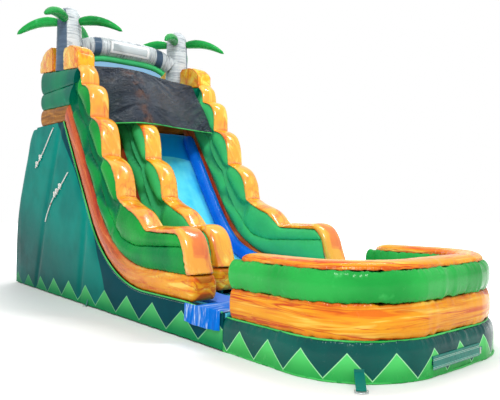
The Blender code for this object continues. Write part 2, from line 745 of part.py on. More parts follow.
def pool(materials):
    pool_tube("pool_base_ring", SHEET + GAP, BASE_TOP,
              BASE_SECTION, materials["base"])
    pool_tube("pool_lower_tube", BASE_TOP + GAP, LOWER_TUBE_TOP, LOWER_TUBE_SECTION, materials["marble"],
              LOWER_TUBE_END)
    pool_tube("pool_upper_tube", LOWER_TUBE_TOP + GAP, UPPER_TUBE_TOP, UPPER_TUBE_SECTION, materials["green"],
              UPPER_TUBE_END)
    pool_tube("pool_rim_cap", UPPER_TUBE_TOP + GAP, RIM_TOP, RIM_SECTION, materials["marble"], RIM_END)
    floor = [tuple(point) for point in pool_outline(POOL_TUBE_WIDTH + GAP, POOL_REAR - GAP)]
    plan_board("pool_floor", floor, *POOL_FLOOR, materials["floor"])
    y_low, y_high, top = LANDING
    half = HALF_WIDTH - SKIN - GAP
    landing = [(-half, y_low), (half, y_low), (half, y_high), (-half, y_high)]
    plan_board("landing_pad", landing, top - LANDING_THICKNESS, top, materials["landing"])


def ground_sheet(material):
    outline = [(-HALF_WIDTH + SHEET_INSET, REAR_Y - SHEET_INSET)]
    outline += [tuple(point) for point in pool_outline(SHEET_INSET)]
    outline.append((HALF_WIDTH - SHEET_INSET, REAR_Y - SHEET_INSET))
    plan_board("ground_sheet", outline, 0.0, SHEET, material)


def post(name, y_end, sign, facing, material):
    """A rounded marble block on the rails; `facing` -1 looks to the front and 1 to the rear."""
    lower_end = y_end - POST_DEPTH if facing < 0 else y_end
    outline = []
    for run, rise in POST_OUTLINE:
        outline.append((y_end - facing * run, rail_height("upper", lower_end) + rise))
    outline += [(y, rail_height("upper", y, GAP)) for y in (y_end, y_end + facing * POST_DEPTH)]
    x_low, x_high = sorted((sign * (HALF_WIDTH - POST_SIDE_INSET), sign * (INNER_X + POST_SIDE_INSET)))
    block = mesh_of(side_board(name, outline, x_low, x_high, material))
    smooth_shading(block.data)
    return soften(block, 0.05, 2)


def trunk_profile(grow=0.0):
    return [(radius + grow if radius else 0.0, height) for radius, height in TRUNK_PROFILE]


def turned(name, profile, sides, place, material, collection="inflatable_slide"):
    """A profile of (radius, height) points turned about an upright axis."""
    mesh = bpy.data.meshes.new(name)
    corners = [(radius, 0.0, height) for radius, height in profile]
    edges = [(index, index + 1) for index in range(len(corners) - 1)]
    mesh.from_pydata(corners, edges, [])
    form = finish_object(name, mesh, material, collection)
    form.location = place
    screw = form.modifiers.new("turn", "SCREW")
    screw.steps = sides
    screw.render_steps = sides
    screw.use_merge_vertices = True
    screw.merge_threshold = 0.0001
    return form


def palm_trunk(name, sign, material):
    """A trunk that stands on the sloping top of the upper rail."""
    trunk = mesh_of(turned(name, trunk_profile(), TRUNK_SIDES, (sign * TRUNK_X, TRUNK_Y, 0.0), material))
    slope = rail_height("upper", 1.0) - rail_height("upper", 0.0)
    form = bmesh.new()
    form.from_mesh(trunk.data)
    cut = bmesh.ops.bisect_plane(form, geom=form.verts[:] + form.edges[:] + form.faces[:],
                                 plane_co=(0.0, 0.0, rail_height("upper", TRUNK_Y, GAP)),
                                 plane_no=(0.0, -slope, 1.0), clear_inner=True)
    edges = [piece for piece in cut["geom_cut"] if isinstance(piece, bmesh.types.BMEdge)]
    bmesh.ops.contextual_create(form, geom=edges)
    bmesh.ops.recalc_face_normals(form, faces=form.faces)
    form.to_mesh(trunk.data)
    form.free()
    smooth_shading(trunk.data)
    return trunk


def frond(name, sign, degrees, material):
    """A tapered, drooping leaf, lofted from ovals along an arc that leaves the trunk."""
    angle = math.radians(degrees)
    out = Vector((math.cos(angle), math.sin(angle), 0.0))
    across = Vector((-out.y, out.x, 0.0))
    centre = Vector((sign * TRUNK_X, TRUNK_Y, FROND_ROOT_HEIGHT))
    start = FROND_ROOT_RADIUS + GAP
    rings = []
    for share, half_width, half_height in FROND_STATIONS:
        reach = start + (FROND_LENGTH - start) * share
        rise = FROND_RISE * share - FROND_DROOP * share ** 2
        tilt = math.atan2(FROND_RISE - 2 * FROND_DROOP * share, FROND_LENGTH - start) if share else 0.0
        up = Vector((0.0, 0.0, math.cos(tilt))) - out * math.sin(tilt)
        middle = centre + out * reach + Vector((0.0, 0.0, rise))
        ring = []
        for corner in range(8):
            turn = math.radians(45.0 * corner + 22.5)
            ring.append(middle + across * (half_width * math.cos(turn)) + up * (half_height * math.sin(turn)))
        rings.append(ring)
    return loft(name, rings, material, angle=70.0)


def arch_piece(name, radius, below, sides, material, cutters):
    """A bowed tube between the trunks, `below` the arch's line, hollowed at its ends to seat round them."""
    reach = TRUNK_X
    ends, middle = ARCH_HEIGHTS
    rings = []
    for step in range(9):
        share = step / 4 - 1
        height = middle + (ends - middle) * share ** 2
        tilt = math.atan(2 * (ends - middle) * share / reach)
        ring = []
        for corner in range(sides):
            turn = 2 * math.pi * (corner + 0.5) / sides
            up = radius * math.sin(turn) - below
            ring.append((share * reach - up * math.sin(tilt), TRUNK_Y + radius * math.cos(turn),
                         height + up * math.cos(tilt)))
        rings.append(ring)
    tube = loft(name, rings, material, angle=60.0)
    for number, cutter in enumerate(cutters):
        cut = tube.modifiers.new(f"trunk_seat_{number}", "BOOLEAN")
        cut.operation = "DIFFERENCE"
        cut.solver = "EXACT"
        cut.object = cutter
    return tube


def arch(materials):
    cutters = []
    for sign in (-1, 1):
        cutter = turned("trunk_cutter", trunk_profile(2 * GAP), TRUNK_SIDES, (sign * TRUNK_X, TRUNK_Y, 0.0),
                        materials["trunk"], "cutters")
        cutter.hide_render = True
        cutter.display_type = "WIRE"
        cutters.append(cutter)
    arch_piece("arch_tube", ARCH_RADIUS, 0.0, 12, materials["trunk"], cutters)
    between = ARCH_RADIUS * math.cos(math.pi / 12) + ARCH_LOWER_RADIUS * math.cos(math.pi / 8) + GAP
    arch_piece("arch_lower_tube", ARCH_LOWER_RADIUS, between, 8, materials["green"], cutters)


def canopy_rows():
    """Points of the cover's upper side, row by row from its top edge."""
    rows = []
    for left, ridge, right in zip(CANOPY_LEFT, CANOPY_RIDGE, CANOPY_RIGHT):
        row = []
        for x, share in CANOPY_COLUMNS:
            side = Vector(left if x < sum(MIDDLE_WALL) / 2 else right)
            y, z = side + (Vector(ridge) - side) * share
            row.append(Vector((x, y, z)))
        rows.append(row)
    return rows


def border(rows):
    """The points round a grid, in order."""
    right = [row[-1] for row in rows[1:-1]]
    left = [row[0] for row in rows[-2:0:-1]]
    return [*rows[0], *right, *reversed(rows[-1]), *left]


def canopy(material):
    """The mesh cover over the top of both lanes: two like sheets of triangles, closed round their edge."""
    depth = Vector((0.0, *CANOPY_DEPTH))
    form = bmesh.new()
    upper = [[form.verts.new(point) for point in row] for row in canopy_rows()]
    lower = [[form.verts.new(corner.co + depth) for corner in row] for row in upper]
    for sheet in (upper, lower):
        for near, far in zip(sheet, sheet[1:]):
            for index in range(len(near) - 1):
                form.faces.new((near[index], near[index + 1], far[index + 1]))
                form.faces.new((near[index], far[index + 1], far[index]))
    top_edge, low_edge = border(upper), border(lower)
    for index, corner in enumerate(top_edge):
        after = (index + 1) % len(top_edge)
        form.faces.new((corner, top_edge[after], low_edge[after], low_edge[index]))
    bmesh.ops.recalc_face_normals(form, faces=form.faces)
    mesh = bpy.data.meshes.new("canopy")
    form.to_mesh(mesh)
    form.free()
    smooth_shading(mesh, 70.0)
    return finish_object("canopy", mesh, material)


def entry_mat(materials):
    """The step-on pad at the climbing side, and the flap that hangs from it outside the body."""
    top = LANDING[2] + GAP
    low = (MAT_X[0], MAT_Y[0], top)
    high = (MAT_X[1], MAT_Y[1], top + MAT_THICKNESS)
    box("entry_mat_pad", low, high, materials["mat"])
    curve = flat_curve("entry_mat_flap", [FLAP_SECTION])
    curve.extrude = (FLAP_Y[1] - FLAP_Y[0]) / 2
    flap = finish_object("entry_mat_flap", curve, materials["mat"])
    flap.rotation_euler = (math.pi / 2, 0.0, 0.0)
    flap.location = (FLAP_HINGE[0], sum(FLAP_Y) / 2, FLAP_HINGE[1])


def rope(name, route, material):
    """A tether that hangs close along the side panel between its two fastenings."""
    x = -HALF_WIDTH - ROPE_RADIUS - 0.002
    line = smooth_line([(x, y, z) for y, z in route], 60)
    points = [line[0]]
    for point in line[1:]:
        if (point - points[-1]).length >= ROPE_SPACING:
            points.append(point)
    curve = bpy.data.curves.new(name, "CURVE")
    curve.dimensions = "3D"
    curve.bevel_depth = ROPE_RADIUS
    curve.bevel_resolution = 2
    curve.use_fill_caps = True
    spline = curve.splines.new("POLY")
    spline.points.add(len(points) - 1)
    for slot, point in zip(spline.points, points):
        slot.co = (*point, 1.0)
    return finish_object(name, curve, material)


def box(name, low, high, material):
    outline = [(low[0], low[1]), (high[0], low[1]), (high[0], high[1]), (low[0], high[1])]
    return plan_board(name, outline, low[2], high[2], material)


def circle_points(x, y, radius, degrees):
    """Points on a circle at the given angles."""
    return [(x + radius * math.cos(math.radians(angle)), y + radius * math.sin(math.radians(angle)))
            for angle in degrees]


def front_face():
    """y of the flat middle of the base's front."""
    return pool_outline()[len(CORNER_ANGLES)].y


def zip_closure(materials):
    """The deflation zip on the front of the base: track, slider and hinged cover."""
    face = front_face()
    track_front = face - ZIP_DEPTH
    box("zip_track", (ZIP_SPAN[0], track_front, ZIP_HEIGHT - ZIP_HALF_HEIGHT),
        (ZIP_SPAN[1], face - GAP, ZIP_HEIGHT + ZIP_HALF_HEIGHT), materials["track"])
    curve = flat_curve("zip_slider", [SLIDER_OUTLINE])
    curve.extrude = SLIDER_HALF_THICKNESS
    slider = finish_object("zip_slider", curve, materials["metal"])
    slider.rotation_euler = (math.pi / 2, 0.0, 0.0)
    slider.location = (SLIDER_X, track_front - GAP - SLIDER_HALF_THICKNESS, ZIP_HEIGHT)
    bead_height, bead_radius = COVER_BEAD
    bead = circle_points(0.0, 0.0, bead_radius, range(-30, 240, 30))
    curve = flat_curve("zip_cover", [bead + COVER_TAIL])
    curve.extrude = (COVER_SPAN[1] - COVER_SPAN[0]) / 2
    cover = finish_object("zip_cover", curve, materials["cover"])
    cover.rotation_euler = (math.pi / 2, 0.0, math.pi / 2)
    cover.location = (sum(COVER_SPAN) / 2, face - GAP - bead_radius, bead_height)


def anchor(where, point, heading, tab_sizes, materials):
    """A webbing tab sewn to the base, with a D-ring that swings in its sleeve."""
    reach = tab_sizes["reach"]
    half_width = tab_sizes["half_width"]
    lower, outer, upper = tab_sizes["root"]
    sleeve = circle_points(reach, SLEEVE_HEIGHT, SLEEVE_RADIUS, range(-110, 131, 30))
    outline = [(0.0, lower), *sleeve, (0.012, outer), (0.012, upper), (0.0, upper)]
    hole = circle_points(reach, SLEEVE_HEIGHT, SLEEVE_BORE, range(0, 360, 45))
    curve = flat_curve(f"anchor_tab_{where}", [outline, hole])
    curve.extrude = half_width
    tab = finish_object(f"anchor_tab_{where}", curve, materials["tab"])
    place = Matrix.Translation((*point, 0.0)) @ Matrix.Rotation(heading, 4, "Z")
    tab.matrix_world = place @ Matrix.Rotation(math.pi / 2, 4, "X")
    drop = math.asin((SLEEVE_HEIGHT - RING_WIRE - 0.001) / RING_LENGTH)
    wide = half_width + 0.014
    loop = [(0.0, 0.003 - wide), (0.0, 0.0), (0.0, wide - 0.003), (0.012, wide)]
    for angle in range(75, -76, -25):
        turn = math.radians(angle)
        loop.append((RING_LENGTH - 0.034 + 0.034 * math.cos(turn), wide * math.sin(turn)))
    loop.append((0.012, -wide))
    curve = bpy.data.curves.new(f"anchor_ring_{where}", "CURVE")
    curve.dimensions = "3D"
    curve.bevel_depth = RING_WIRE
    curve.bevel_resolution = 2
    spline = curve.splines.new("POLY")
    spline.points.add(len(loop) - 1)
    spline.use_cyclic_u = True
    for slot, (along, sideways) in zip(spline.points, loop):
        slot.co = (along * math.cos(drop), sideways, -along * math.sin(drop), 1.0)
    ring = finish_object(f"anchor_ring_{where}", curve, materials["metal"])
    ring.matrix_world = place @ Matrix.Translation((reach, 0.0, SLEEVE_HEIGHT))


def blower_inlet(material):
    """The open collar at the rear that a blower tube ties on to."""
    x, z = INLET
    outside = INLET_RADIUS + INLET_BEAD
    inside = INLET_RADIUS - INLET_WALL
    profile = [(INLET_RADIUS, 0.0), (outside, -INLET_BEAD), (outside, INLET_BEAD - INLET_LENGTH),
               (INLET_RADIUS, -INLET_LENGTH), (inside, -INLET_LENGTH), (inside, 0.0), (INLET_RADIUS, 0.0)]
    collar = turned("blower_inlet", profile, 20, (x, REAR_Y + GAP, z), material)
    collar.rotation_euler = (math.pi / 2, 0.0, 0.0)


def build():
    clear_scene()
    for name in ("inflatable_slide", "cutters"):
        home = bpy.data.collections.new(name)
        bpy.context.scene.collection.children.link(home)
    bpy.data.collections["cutters"].hide_render = True
    teal = vinyl("teal_vinyl", TEAL)
    base = vinyl("dark_teal_vinyl", DARK_TEAL)
    green = vinyl("green_vinyl", GREEN)
    light_green = vinyl("light_green_vinyl", LIGHT_GREEN)
    orange = vinyl("orange_marble_vinyl", ORANGE)
    red_orange = vinyl("red_orange_marble_vinyl", RED_ORANGE)
    yellow_orange = vinyl("yellow_orange_marble_vinyl", YELLOW_ORANGE)
    tan = vinyl("tan_vinyl", TAN)
    brown = vinyl("brown_vinyl", BROWN)
    blue = vinyl("blue_vinyl", BLUE)
    cyan = vinyl("cyan_vinyl", CYAN)
    grey = vinyl("grey_marble_vinyl", GREY)
    black = vinyl("black_mesh", BLACK, 0.6)
    webbing = vinyl("white_webbing", WHITE, 0.7)
    steel = vinyl("plated_steel", STEEL, 0.25, 1.0)

    ground_sheet(black)
    side_panels(teal)
    back_panel(teal)
    tower_deck(brown)
    slide_bed(blue)
    ladder_ramp(brown)
    slide_side_tubes(blue)
    centre_baffle(teal)
    wall_finish = {"strip": red_orange, "lower_tube": green, "upper_tube": green, "cap": orange}
    wall_tubes("left", -HALF_WIDTH, -INNER_X, 0.0, SIDE_WALL_END, wall_finish)
    wall_tubes("middle", *MIDDLE_WALL, 0.3, MIDDLE_WALL_END, wall_finish)
    wall_tubes("right", INNER_X, HALF_WIDTH, 0.0, SIDE_WALL_END, wall_finish)
    rail("tower_rail_lower", "panel", "strip", tan)
    rail("tower_rail_middle", "strip", "middle", green)
    rail("tower_rail_upper", "middle", "upper", green)
    pool({"base": base, "marble": yellow_orange, "green": light_green, "floor": cyan, "landing": cyan})
    for side, sign in (("left", -1), ("right", 1)):
        post(f"front_post_{side}", FRONT_POST_Y, sign, -1, orange)
        post(f"rear_post_{side}", REAR_POST_Y, sign, 1, orange)
        palm_trunk(f"palm_trunk_{side}", sign, grey)
        for number, degrees in enumerate(FROND_ANGLES, 1):
            frond(f"frond_{side}_{number}", sign, degrees, light_green)
    arch({"trunk": grey, "green": green})
    canopy(black)
    entry_mat({"mat": blue})
    rope("rope_upper", UPPER_ROPE, webbing)
    rope("rope_lower", LOWER_ROPE, webbing)
    zip_closure({"track": base, "cover": teal, "metal": steel})
    outline = pool_outline()
    along = outline[5] - outline[3]
    heading = math.atan2(-along.x, along.y)
    outward = Vector((math.cos(heading), math.sin(heading)))
    anchor("front", outline[4] + outward * GAP, heading, FRONT_TAB, {"tab": teal, "metal": steel})
    anchor("left", Vector((-HALF_WIDTH - GAP, SIDE_TAB_Y)), math.pi, SIDE_TAB, {"tab": teal, "metal": steel})
    blower_inlet(teal)


build()
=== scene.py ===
"""The looks of an inflatable water slide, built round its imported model.

Lengths are metres. On a skin, `along` counts metres along its seams and `girth` metres across them, and the
attribute "seam" is 1 at a seam and falls to 0 a hand's width away from it.
"""

import math

import bpy
import numpy as np
from mathutils import Matrix, Vector


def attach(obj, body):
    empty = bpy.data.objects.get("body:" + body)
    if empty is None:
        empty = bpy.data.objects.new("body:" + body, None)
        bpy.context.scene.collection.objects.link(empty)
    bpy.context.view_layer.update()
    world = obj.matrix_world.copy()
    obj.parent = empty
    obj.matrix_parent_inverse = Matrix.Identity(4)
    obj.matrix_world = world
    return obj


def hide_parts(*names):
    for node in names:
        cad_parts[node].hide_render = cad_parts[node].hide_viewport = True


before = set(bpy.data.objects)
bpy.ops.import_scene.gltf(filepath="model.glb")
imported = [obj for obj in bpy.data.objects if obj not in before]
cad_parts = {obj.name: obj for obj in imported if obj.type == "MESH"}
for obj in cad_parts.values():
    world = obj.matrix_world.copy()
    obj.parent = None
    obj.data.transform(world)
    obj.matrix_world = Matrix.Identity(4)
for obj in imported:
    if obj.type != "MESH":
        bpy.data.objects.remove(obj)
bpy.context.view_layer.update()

# Sizes shared with the model's source
HALF_WIDTH = 1.58
FRONT_Y = -5.27
REAR_Y = 5.24
GAP = 0.0003
TUBE_WIDTH = 0.42
INNER_X = HALF_WIDTH - TUBE_WIDTH
MIDDLE_WALL = (-0.73, -0.33)
SLOPE_ANGLE = math.radians(55.7)
BEND_RADIUS = 2.11
FLAT_HEIGHT = 0.85
GUIDE_TOP = (2.05, 3.78)
MITRE_LEAN = 0.66
MITRE_HEIGHTS = {"panel": 3.47, "strip": 3.78, "middle": 4.15, "upper": 4.42}
REAR_HEIGHTS = {"panel": 3.53, "strip": 3.89, "middle": 4.23, "upper": 4.72}
LEAN_REACH = 1.0
MITRE_BLEND = 0.1
TOWER_REAR = 3.83
TOWER_CORNER = 0.30
TOWER_INNER_CORNER = 0.05
RAIL_START = 2.75
PANEL_OFFSET = -0.35
MIDDLE_SEAM = [(0.0, 0.41), (0.6, 0.37), (2.4, 0.36), (3.2, 0.25), (3.5, 0.22), (4.4, 0.33), (5.6, 0.38)]
STEP_TROUGHS = [(-0.60, 0.66), (0.10, 0.65), (0.88, 0.62), (1.78, 0.61), (2.85, 0.66), (4.42, 0.56)]
STEP_CRESTS = [(-0.18, 0.74), (0.43, 0.83), (1.27, 0.80), (2.25, 0.81), (3.80, 0.74)]
RUN_OUT_OFFSET = 0.545
RUN_OUT_BLEND = 0.3
SCALLOP_SHARE = -0.45
LAST_SCALLOP = 2.85
SIDE_WALL_END = -2.17
MIDDLE_WALL_END = -1.60
END_ROUND = 0.27
END_SLANT = 0.11
CAP_THICKNESS = (0.045, 0.095)
CAP_END_HEIGHT = 0.853
CAP_FRONT = (0.125, 0.185)
TOE_REACH = 0.20
BED_THICKNESS = 0.058
BED_LINE = [(2.26, 3.43), (2.03, 3.37), (1.85, 3.12), (1.47, 2.56), (0.78, 1.55), (0.30, 1.03),
            (-0.14, 0.79), (-0.66, 0.65), (-1.30, 0.56), (-1.85, 0.49), (-2.3697, 0.47)]
SIDE_TUBE_RADIUS = 0.13
STEP_RADIUS = 0.06
STEP_SPACING = 0.33
POOL_REAR = -3.05
CORNER_X = 1.24
CORNER_Y = 1.13
CORNER_POWER = 2.15
FRONT_FLAT = -5.2584
POOL_FLOOR_HEIGHT = 0.362
LANDING_HEIGHT = 0.455
LANDING_REAR = -2.382
BASE_TOP = 0.405
LOWER_TUBE_TOP = 0.78
UPPER_TUBE_TOP = 1.12
RIM_TOP = 1.21
REAR_LINE = [(TOWER_REAR, 3.50), (4.15, 3.44), (4.45, 2.95), (4.98, 1.98), (5.18, 1.40), (REAR_Y, 0.80)]
BACK_SEAMS = (-1.05, -0.53, 0.0, 0.53, 1.05)
PANEL_FOOT = 0.0205
POST_OUTLINE = [(-0.79, 0.12), (-0.78, 0.30), (-0.62, 0.44), (-0.42, 0.53), (-0.05, 0.55), (0.0, 0.48)]
POST_DEPTH = 0.79
TRUNK_X = 1.30
TRUNK_Y = 2.71
TRUNK_SEAMS = (4.78, 5.00, 5.22, 5.44, 5.68)
TRUNK_PROFILE = [(0.0, 5.93), (0.10, 5.915), (0.17, 5.865), (0.215, 5.78), (0.235, 5.66), (0.242, 5.45),
                 (0.25, 5.15), (0.262, 4.80), (0.268, 4.60)]
FROND_LENGTH = 1.13
FROND_ROOT_HEIGHT = 5.62
FROND_ROOT_RADIUS = 0.242
FROND_RISE = 0.20
FROND_DROOP = 0.42
FROND_STATIONS = [(0.0, 0.075, 0.072), (0.08, 0.105, 0.088), (0.25, 0.120, 0.100), (0.45, 0.115, 0.092),
                  (0.65, 0.098, 0.078), (0.83, 0.070, 0.058), (0.95, 0.040, 0.036), (1.0, 0.016, 0.016)]
FROND_ANGLES = (-134.0, -44.0, 46.0, 136.0)
ARCH_RADIUS = 0.20
ARCH_HEIGHTS = (4.88, 5.26)
ARCH_LOWER_RADIUS = 0.065
CANOPY_HALF = 1.156
CANOPY_LEFT = [(1.86, 4.57), (1.67, 4.24), (1.47, 3.92), (1.25, 3.62), (1.02, 3.33)]
CANOPY_RIDGE = [(1.80, 4.61), (1.50, 4.47), (1.20, 4.30), (0.93, 4.00), (0.67, 3.345)]
CANOPY_RIGHT = [(1.84, 4.49), (1.66, 4.23), (1.42, 3.95), (1.22, 3.66), (1.05, 3.35)]
CANOPY_COLUMNS = [(-1.1594, 0.0), (-0.97, 0.45), (-0.77, 0.88), (-0.60, 0.98), (-0.45, 1.0), (-0.30, 0.93),
                  (0.05, 0.60), (0.60, 0.25), (1.1594, 0.0)]
ROPE_RADIUS = 0.012
ROPE_SPACING = 0.06
UPPER_ROPE = [(2.76, 3.40), (3.08, 3.11), (3.42, 2.86), (3.78, 2.64)]
LOWER_ROPE = [(1.91, 2.44), (2.33, 2.17), (2.74, 1.92), (3.20, 1.47)]

# Leaf-shaped lobes that stand out of the green tubes, as (start, end) along the guide line
LOWER_LEAVES = [(0.22, 1.17), (1.25, 2.20), (2.18, 3.12)]
UPPER_LEAVES = [(0.10, 0.90), (0.88, 1.80), (1.78, 2.88)]
VALLEY_DEPTH = 0.12

# Light that the sky gives to what faces it
SKY_LEVEL = 0.74
# Strength of the pale rear screen's painted glow, in place of daylight through it
PAINTED_SCREEN_GLOW = 0.85

# How finely the skins are cut
WALL_STEP = 0.016
POOL_STEP = 0.014
FACE_CUTS = 13

SIDES = (("left", -1), ("right", 1))
UP = (0.0, 0.0, 1.0)


def camera():
    data = bpy.data.cameras.new("camera")
    data.sensor_width = 36.0
    data.lens = 39.676
    data.clip_end = 200.0
    made = place_object("camera", data)
    made.location = (-5.602, -8.494, 1.749)
    made.rotation_euler = (math.radians(90.898), 0.0, math.radians(-39.243))
    bpy.context.scene.camera = made


def place_object(name, data):
    made = bpy.data.objects.new(name, data)
    bpy.context.scene.collection.objects.link(made)
    return made


def dress(piece, slot, *nodes, body="slide"):
    """Puts a piece on its body and hides the solids that it stands for; the finish's name in `slot` is not used."""
    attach(piece, body)
    if nodes:
        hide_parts(*nodes)
    return piece


def link(name, data, finish):
    data.materials.append(finish.material)
    return place_object(name, data)


def smooth_line(points, steps):
    """Points on a smooth curve through the given ones, with `steps` for each stretch."""
    ends = [Vector(point) for point in points]
    padded = [2 * ends[0] - ends[1], *ends, 2 * ends[-1] - ends[-2]]
    line = []
    for before, start, end, after in zip(padded, padded[1:], padded[2:], padded[3:]):
        for t in np.arange(steps) / steps:
            t = float(t)
            line.append(0.5 * (2 * start + (end - before) * t
                               + (2 * before - 5 * start + 4 * end - after) * t ** 2
                               + (3 * start - before - 3 * end + after) * t ** 3))
    return line + [ends[-1]]


def looked_up(place, table):
    """Value at `place` in a table of (place, value) pairs."""
    return float(np.interp(place, *zip(*table)))


def walked(points):
    """Metres along a line of points, from 0 at its start."""
    return np.append(0.0, np.cumsum(np.linalg.norm(np.diff(points, axis=0), axis=1)))


def circle(count):
    return np.linspace(0.0, 2 * np.pi, count + 1)[:-1]


# Finishes


def srgb(*levels):
    """A colour given as on a screen, 0 to 255, in the linear values that a shader takes."""
    return tuple(((level / 255 + 0.055) / 1.055) ** 2.4 if level > 10 else level / 3294 for level in levels) + (1.0,)


class Value:
    """A value in a finish's tree; arithmetic on it adds the Math nodes that it needs."""

    def __init__(self, finish, socket):
        self.finish = finish
        self.socket = socket

    def maths(self, operation, *values):
        return self.finish.node("ShaderNodeMath", {"operation": operation}, dict(enumerate(values)))

    def __add__(self, other):
        return self.maths("ADD", self, other)

    def __sub__(self, other):
        return self.maths("SUBTRACT", self, other)

    def __rsub__(self, other):
        return self.maths("SUBTRACT", other, self)

    def __mul__(self, other):
        return self.maths("MULTIPLY", self, other)

    def __truediv__(self, other):
        return self.maths("DIVIDE", self, other)

    def __pow__(self, other):
        return self.maths("POWER", self, other)

    def __abs__(self):
        return self.maths("ABSOLUTE", self)

    __radd__ = __add__
    __rmul__ = __mul__


class Finish:
    """A material, and the one way in which nodes are added to it."""

    def __init__(self, name, constants=None):
        self.material = bpy.data.materials.new(name)
        self.material.use_nodes = True
        self.tree = self.material.node_tree
        self.shader = self.tree.nodes["Principled BSDF"]
        for socket, value in (constants or {}).items():
            self.shader.inputs[socket].default_value = value

    def node(self, kind, settings=None, sockets=None, output=0):
        made = self.tree.nodes.new(kind)
        for name, value in (settings or {}).items():
            setattr(made, name, value)
        for key, value in (sockets or {}).items():
            if isinstance(value, Value):
                self.tree.links.new(value.socket, made.inputs[key])
            else:
                made.inputs[key].default_value = value
        return Value(self, made.outputs[output])

    def feed(self, socket, value):
        self.tree.links.new(value.socket, self.shader.inputs[socket])

    def object_point(self):
        return self.node("ShaderNodeTexCoord", output="Object")

    def mark(self, name):
        """A number that the mesh keeps at each of its points."""
        return self.node("ShaderNodeAttribute", {"attribute_name": name}, output="Fac")

    def part(self, vector, axis):
        return self.node("ShaderNodeSeparateXYZ", None, {0: vector}, "XYZ".index(axis))

    def scaled(self, vector, *scale):
        return self.node("ShaderNodeMapping", None, {"Vector": vector, "Scale": scale})

    def noise(self, vector, scale, detail=3.0, roughness=0.5, distortion=0.0):
        sockets = {"Vector": vector, "Scale": scale, "Detail": detail, "Roughness": roughness, "Distortion": distortion}
        return self.node("ShaderNodeTexNoise", None, sockets)

    def wave(self, vector, direction, **sockets):
        settings = {"wave_type": "BANDS", "bands_direction": direction}
        return self.node("ShaderNodeTexWave", settings, {"Vector": vector, **sockets}, "Fac")

    def ramp(self, value, stops):
        made = self.node("ShaderNodeValToRGB", None, {0: value})
        ramp = made.socket.node.color_ramp
        for place, colour in stops[len(ramp.elements):]:
            ramp.elements.new(1.0)
        for element, (place, colour) in zip(ramp.elements, stops):
            element.position = place
            element.color = colour
        return made

    def step(self, value, low, high):
        """0 below `low` and 1 above `high`, with a smooth edge between."""
        sockets = {"Value": value, "From Min": low, "From Max": high}
        return self.node("ShaderNodeMapRange", {"interpolation_type": "SMOOTHSTEP"}, sockets)

    def patches(self, vector, scale, detail, low, high):
        """0 and 1 in soft irregular patches."""
        return self.step(self.noise(vector, scale, detail), low, high)

    def mix(self, share, first, second, blend="MIX"):
        settings = {"data_type": "RGBA", "blend_type": blend}
        return self.node("ShaderNodeMix", settings, {0: share, 6: first, 7: second}, 2)

    def bump(self, height, distance, strength=1.0):
        sockets = {"Height": height, "Distance": distance, "Strength": strength}
        self.feed("Normal", self.node("ShaderNodeBump", None, sockets))


def vinyl(name, paint, gloss=0.24, gather=0.006, spacing=30.0, ior=1.2):
    """Coated cloth: painted by `paint`, darkened at its seams with painted shade, drawn into gathers at its seams, and
    lightly scuffed.
    """
    finish = Finish(name, {"IOR": ior, "Specular IOR Level": 0.9})
    place = finish.object_point()
    skin_place = finish.node("ShaderNodeUVMap", {"uv_map": "skin"})
    seam = finish.mark("seam")
    colour = paint(finish, place, skin_place)
    colour = finish.mix(0.16 * finish.patches(place, 2.3, 4.0, 0.45, 0.75), colour, (0.0, 0.0, 0.0, 1.0), "SOFT_LIGHT")
    dusty = finish.noise(place, 9.0, 6.0, 0.6)
    colour = finish.mix(0.008 * finish.step(dusty, 0.5, 0.8), colour, srgb(205, 200, 190))
    # Painted shade: the colour is darkened towards black in the seams, where the creases lie in shade.
    deep = finish.step(seam, 0.80, 1.0)
    finish.feed("Base Color", finish.mix(0.40 * deep, colour, (0.02, 0.02, 0.02, 1.0), "MULTIPLY"))
    finish.feed("Roughness", gloss + 0.14 * finish.step(dusty, 0.42, 0.85) + 0.15 * deep)
    folds = finish.noise(finish.scaled(skin_place, spacing, 2.0, 1.0), 1.0, 2.0)
    finish.bump(folds * seam ** 1.5 + 0.04 * finish.noise(place, 45.0, 2.0), gather)
    return finish


def plain(base, deeper, pale=None):
    """A plain colour that drifts a little over the sheet."""
    def paint(finish, place, _):
        colour = finish.mix(finish.patches(place, 1.1, 2.0, 0.35, 0.7), base, deeper)
        if pale:
            colour = finish.mix(0.5 * finish.patches(place, 5.0, 3.0, 0.62, 0.8), colour, pale)
        return colour
    return paint


def marble(colours, stretch, scale=1.0, on_skin=True, drift=1.4, veins=0.75):
    """Poured colours that flow along the sheet: pale, ground and deep clouds, and thin broken veins."""
    pale, ground, deep, vein = colours

    def paint(finish, place, skin_place):
        flow = finish.scaled(skin_place if on_skin else place, *stretch)
        swirl = finish.noise(flow, scale, 3.0, 0.5, drift)
        colour = finish.ramp(swirl, [(0.34, pale), (0.45, ground), (0.54, ground), (0.66, deep)])
        line = abs(finish.noise(flow, scale * 1.3, 3.0, 0.5, drift) - 0.5)
        broken = finish.patches(flow, scale * 0.8, 2.0, 0.40, 0.60)
        return finish.mix(veins * broken * (1 - finish.step(line, 0.0, 0.075)), colour, vein)
    return paint


# Pale, ground, deep and vein colours of the poured orange, yellow first and red second
FLAMES = [((255, 226, 92), (240, 138, 82)), ((255, 182, 30), (204, 78, 38)),
          ((250, 132, 24), (178, 52, 34)), ((222, 66, 22), (128, 34, 36))]


def flame(warm, *stretch, **settings):
    """Poured orange, redder beside its seams; `warm` from 0, yellow, to 1, red."""
    colours = [tuple(low + (high - low) * warm for low, high in zip(srgb(*yellow), srgb(*red)))
               for yellow, red in FLAMES]
    poured = marble(colours, stretch, **settings)

    def paint(finish, place, skin_place):
        ruddy = finish.step(finish.mark("seam"), 0.10, 0.9) * finish.patches(place, 3.0, 2.0, 0.32, 0.60)
        return finish.mix(0.6 * ruddy, poured(finish, place, skin_place), colours[3])
    return paint


def cap_flame(warm):
    return flame(warm, 1.5, 2.6, 1.0, drift=1.7, veins=0.5)


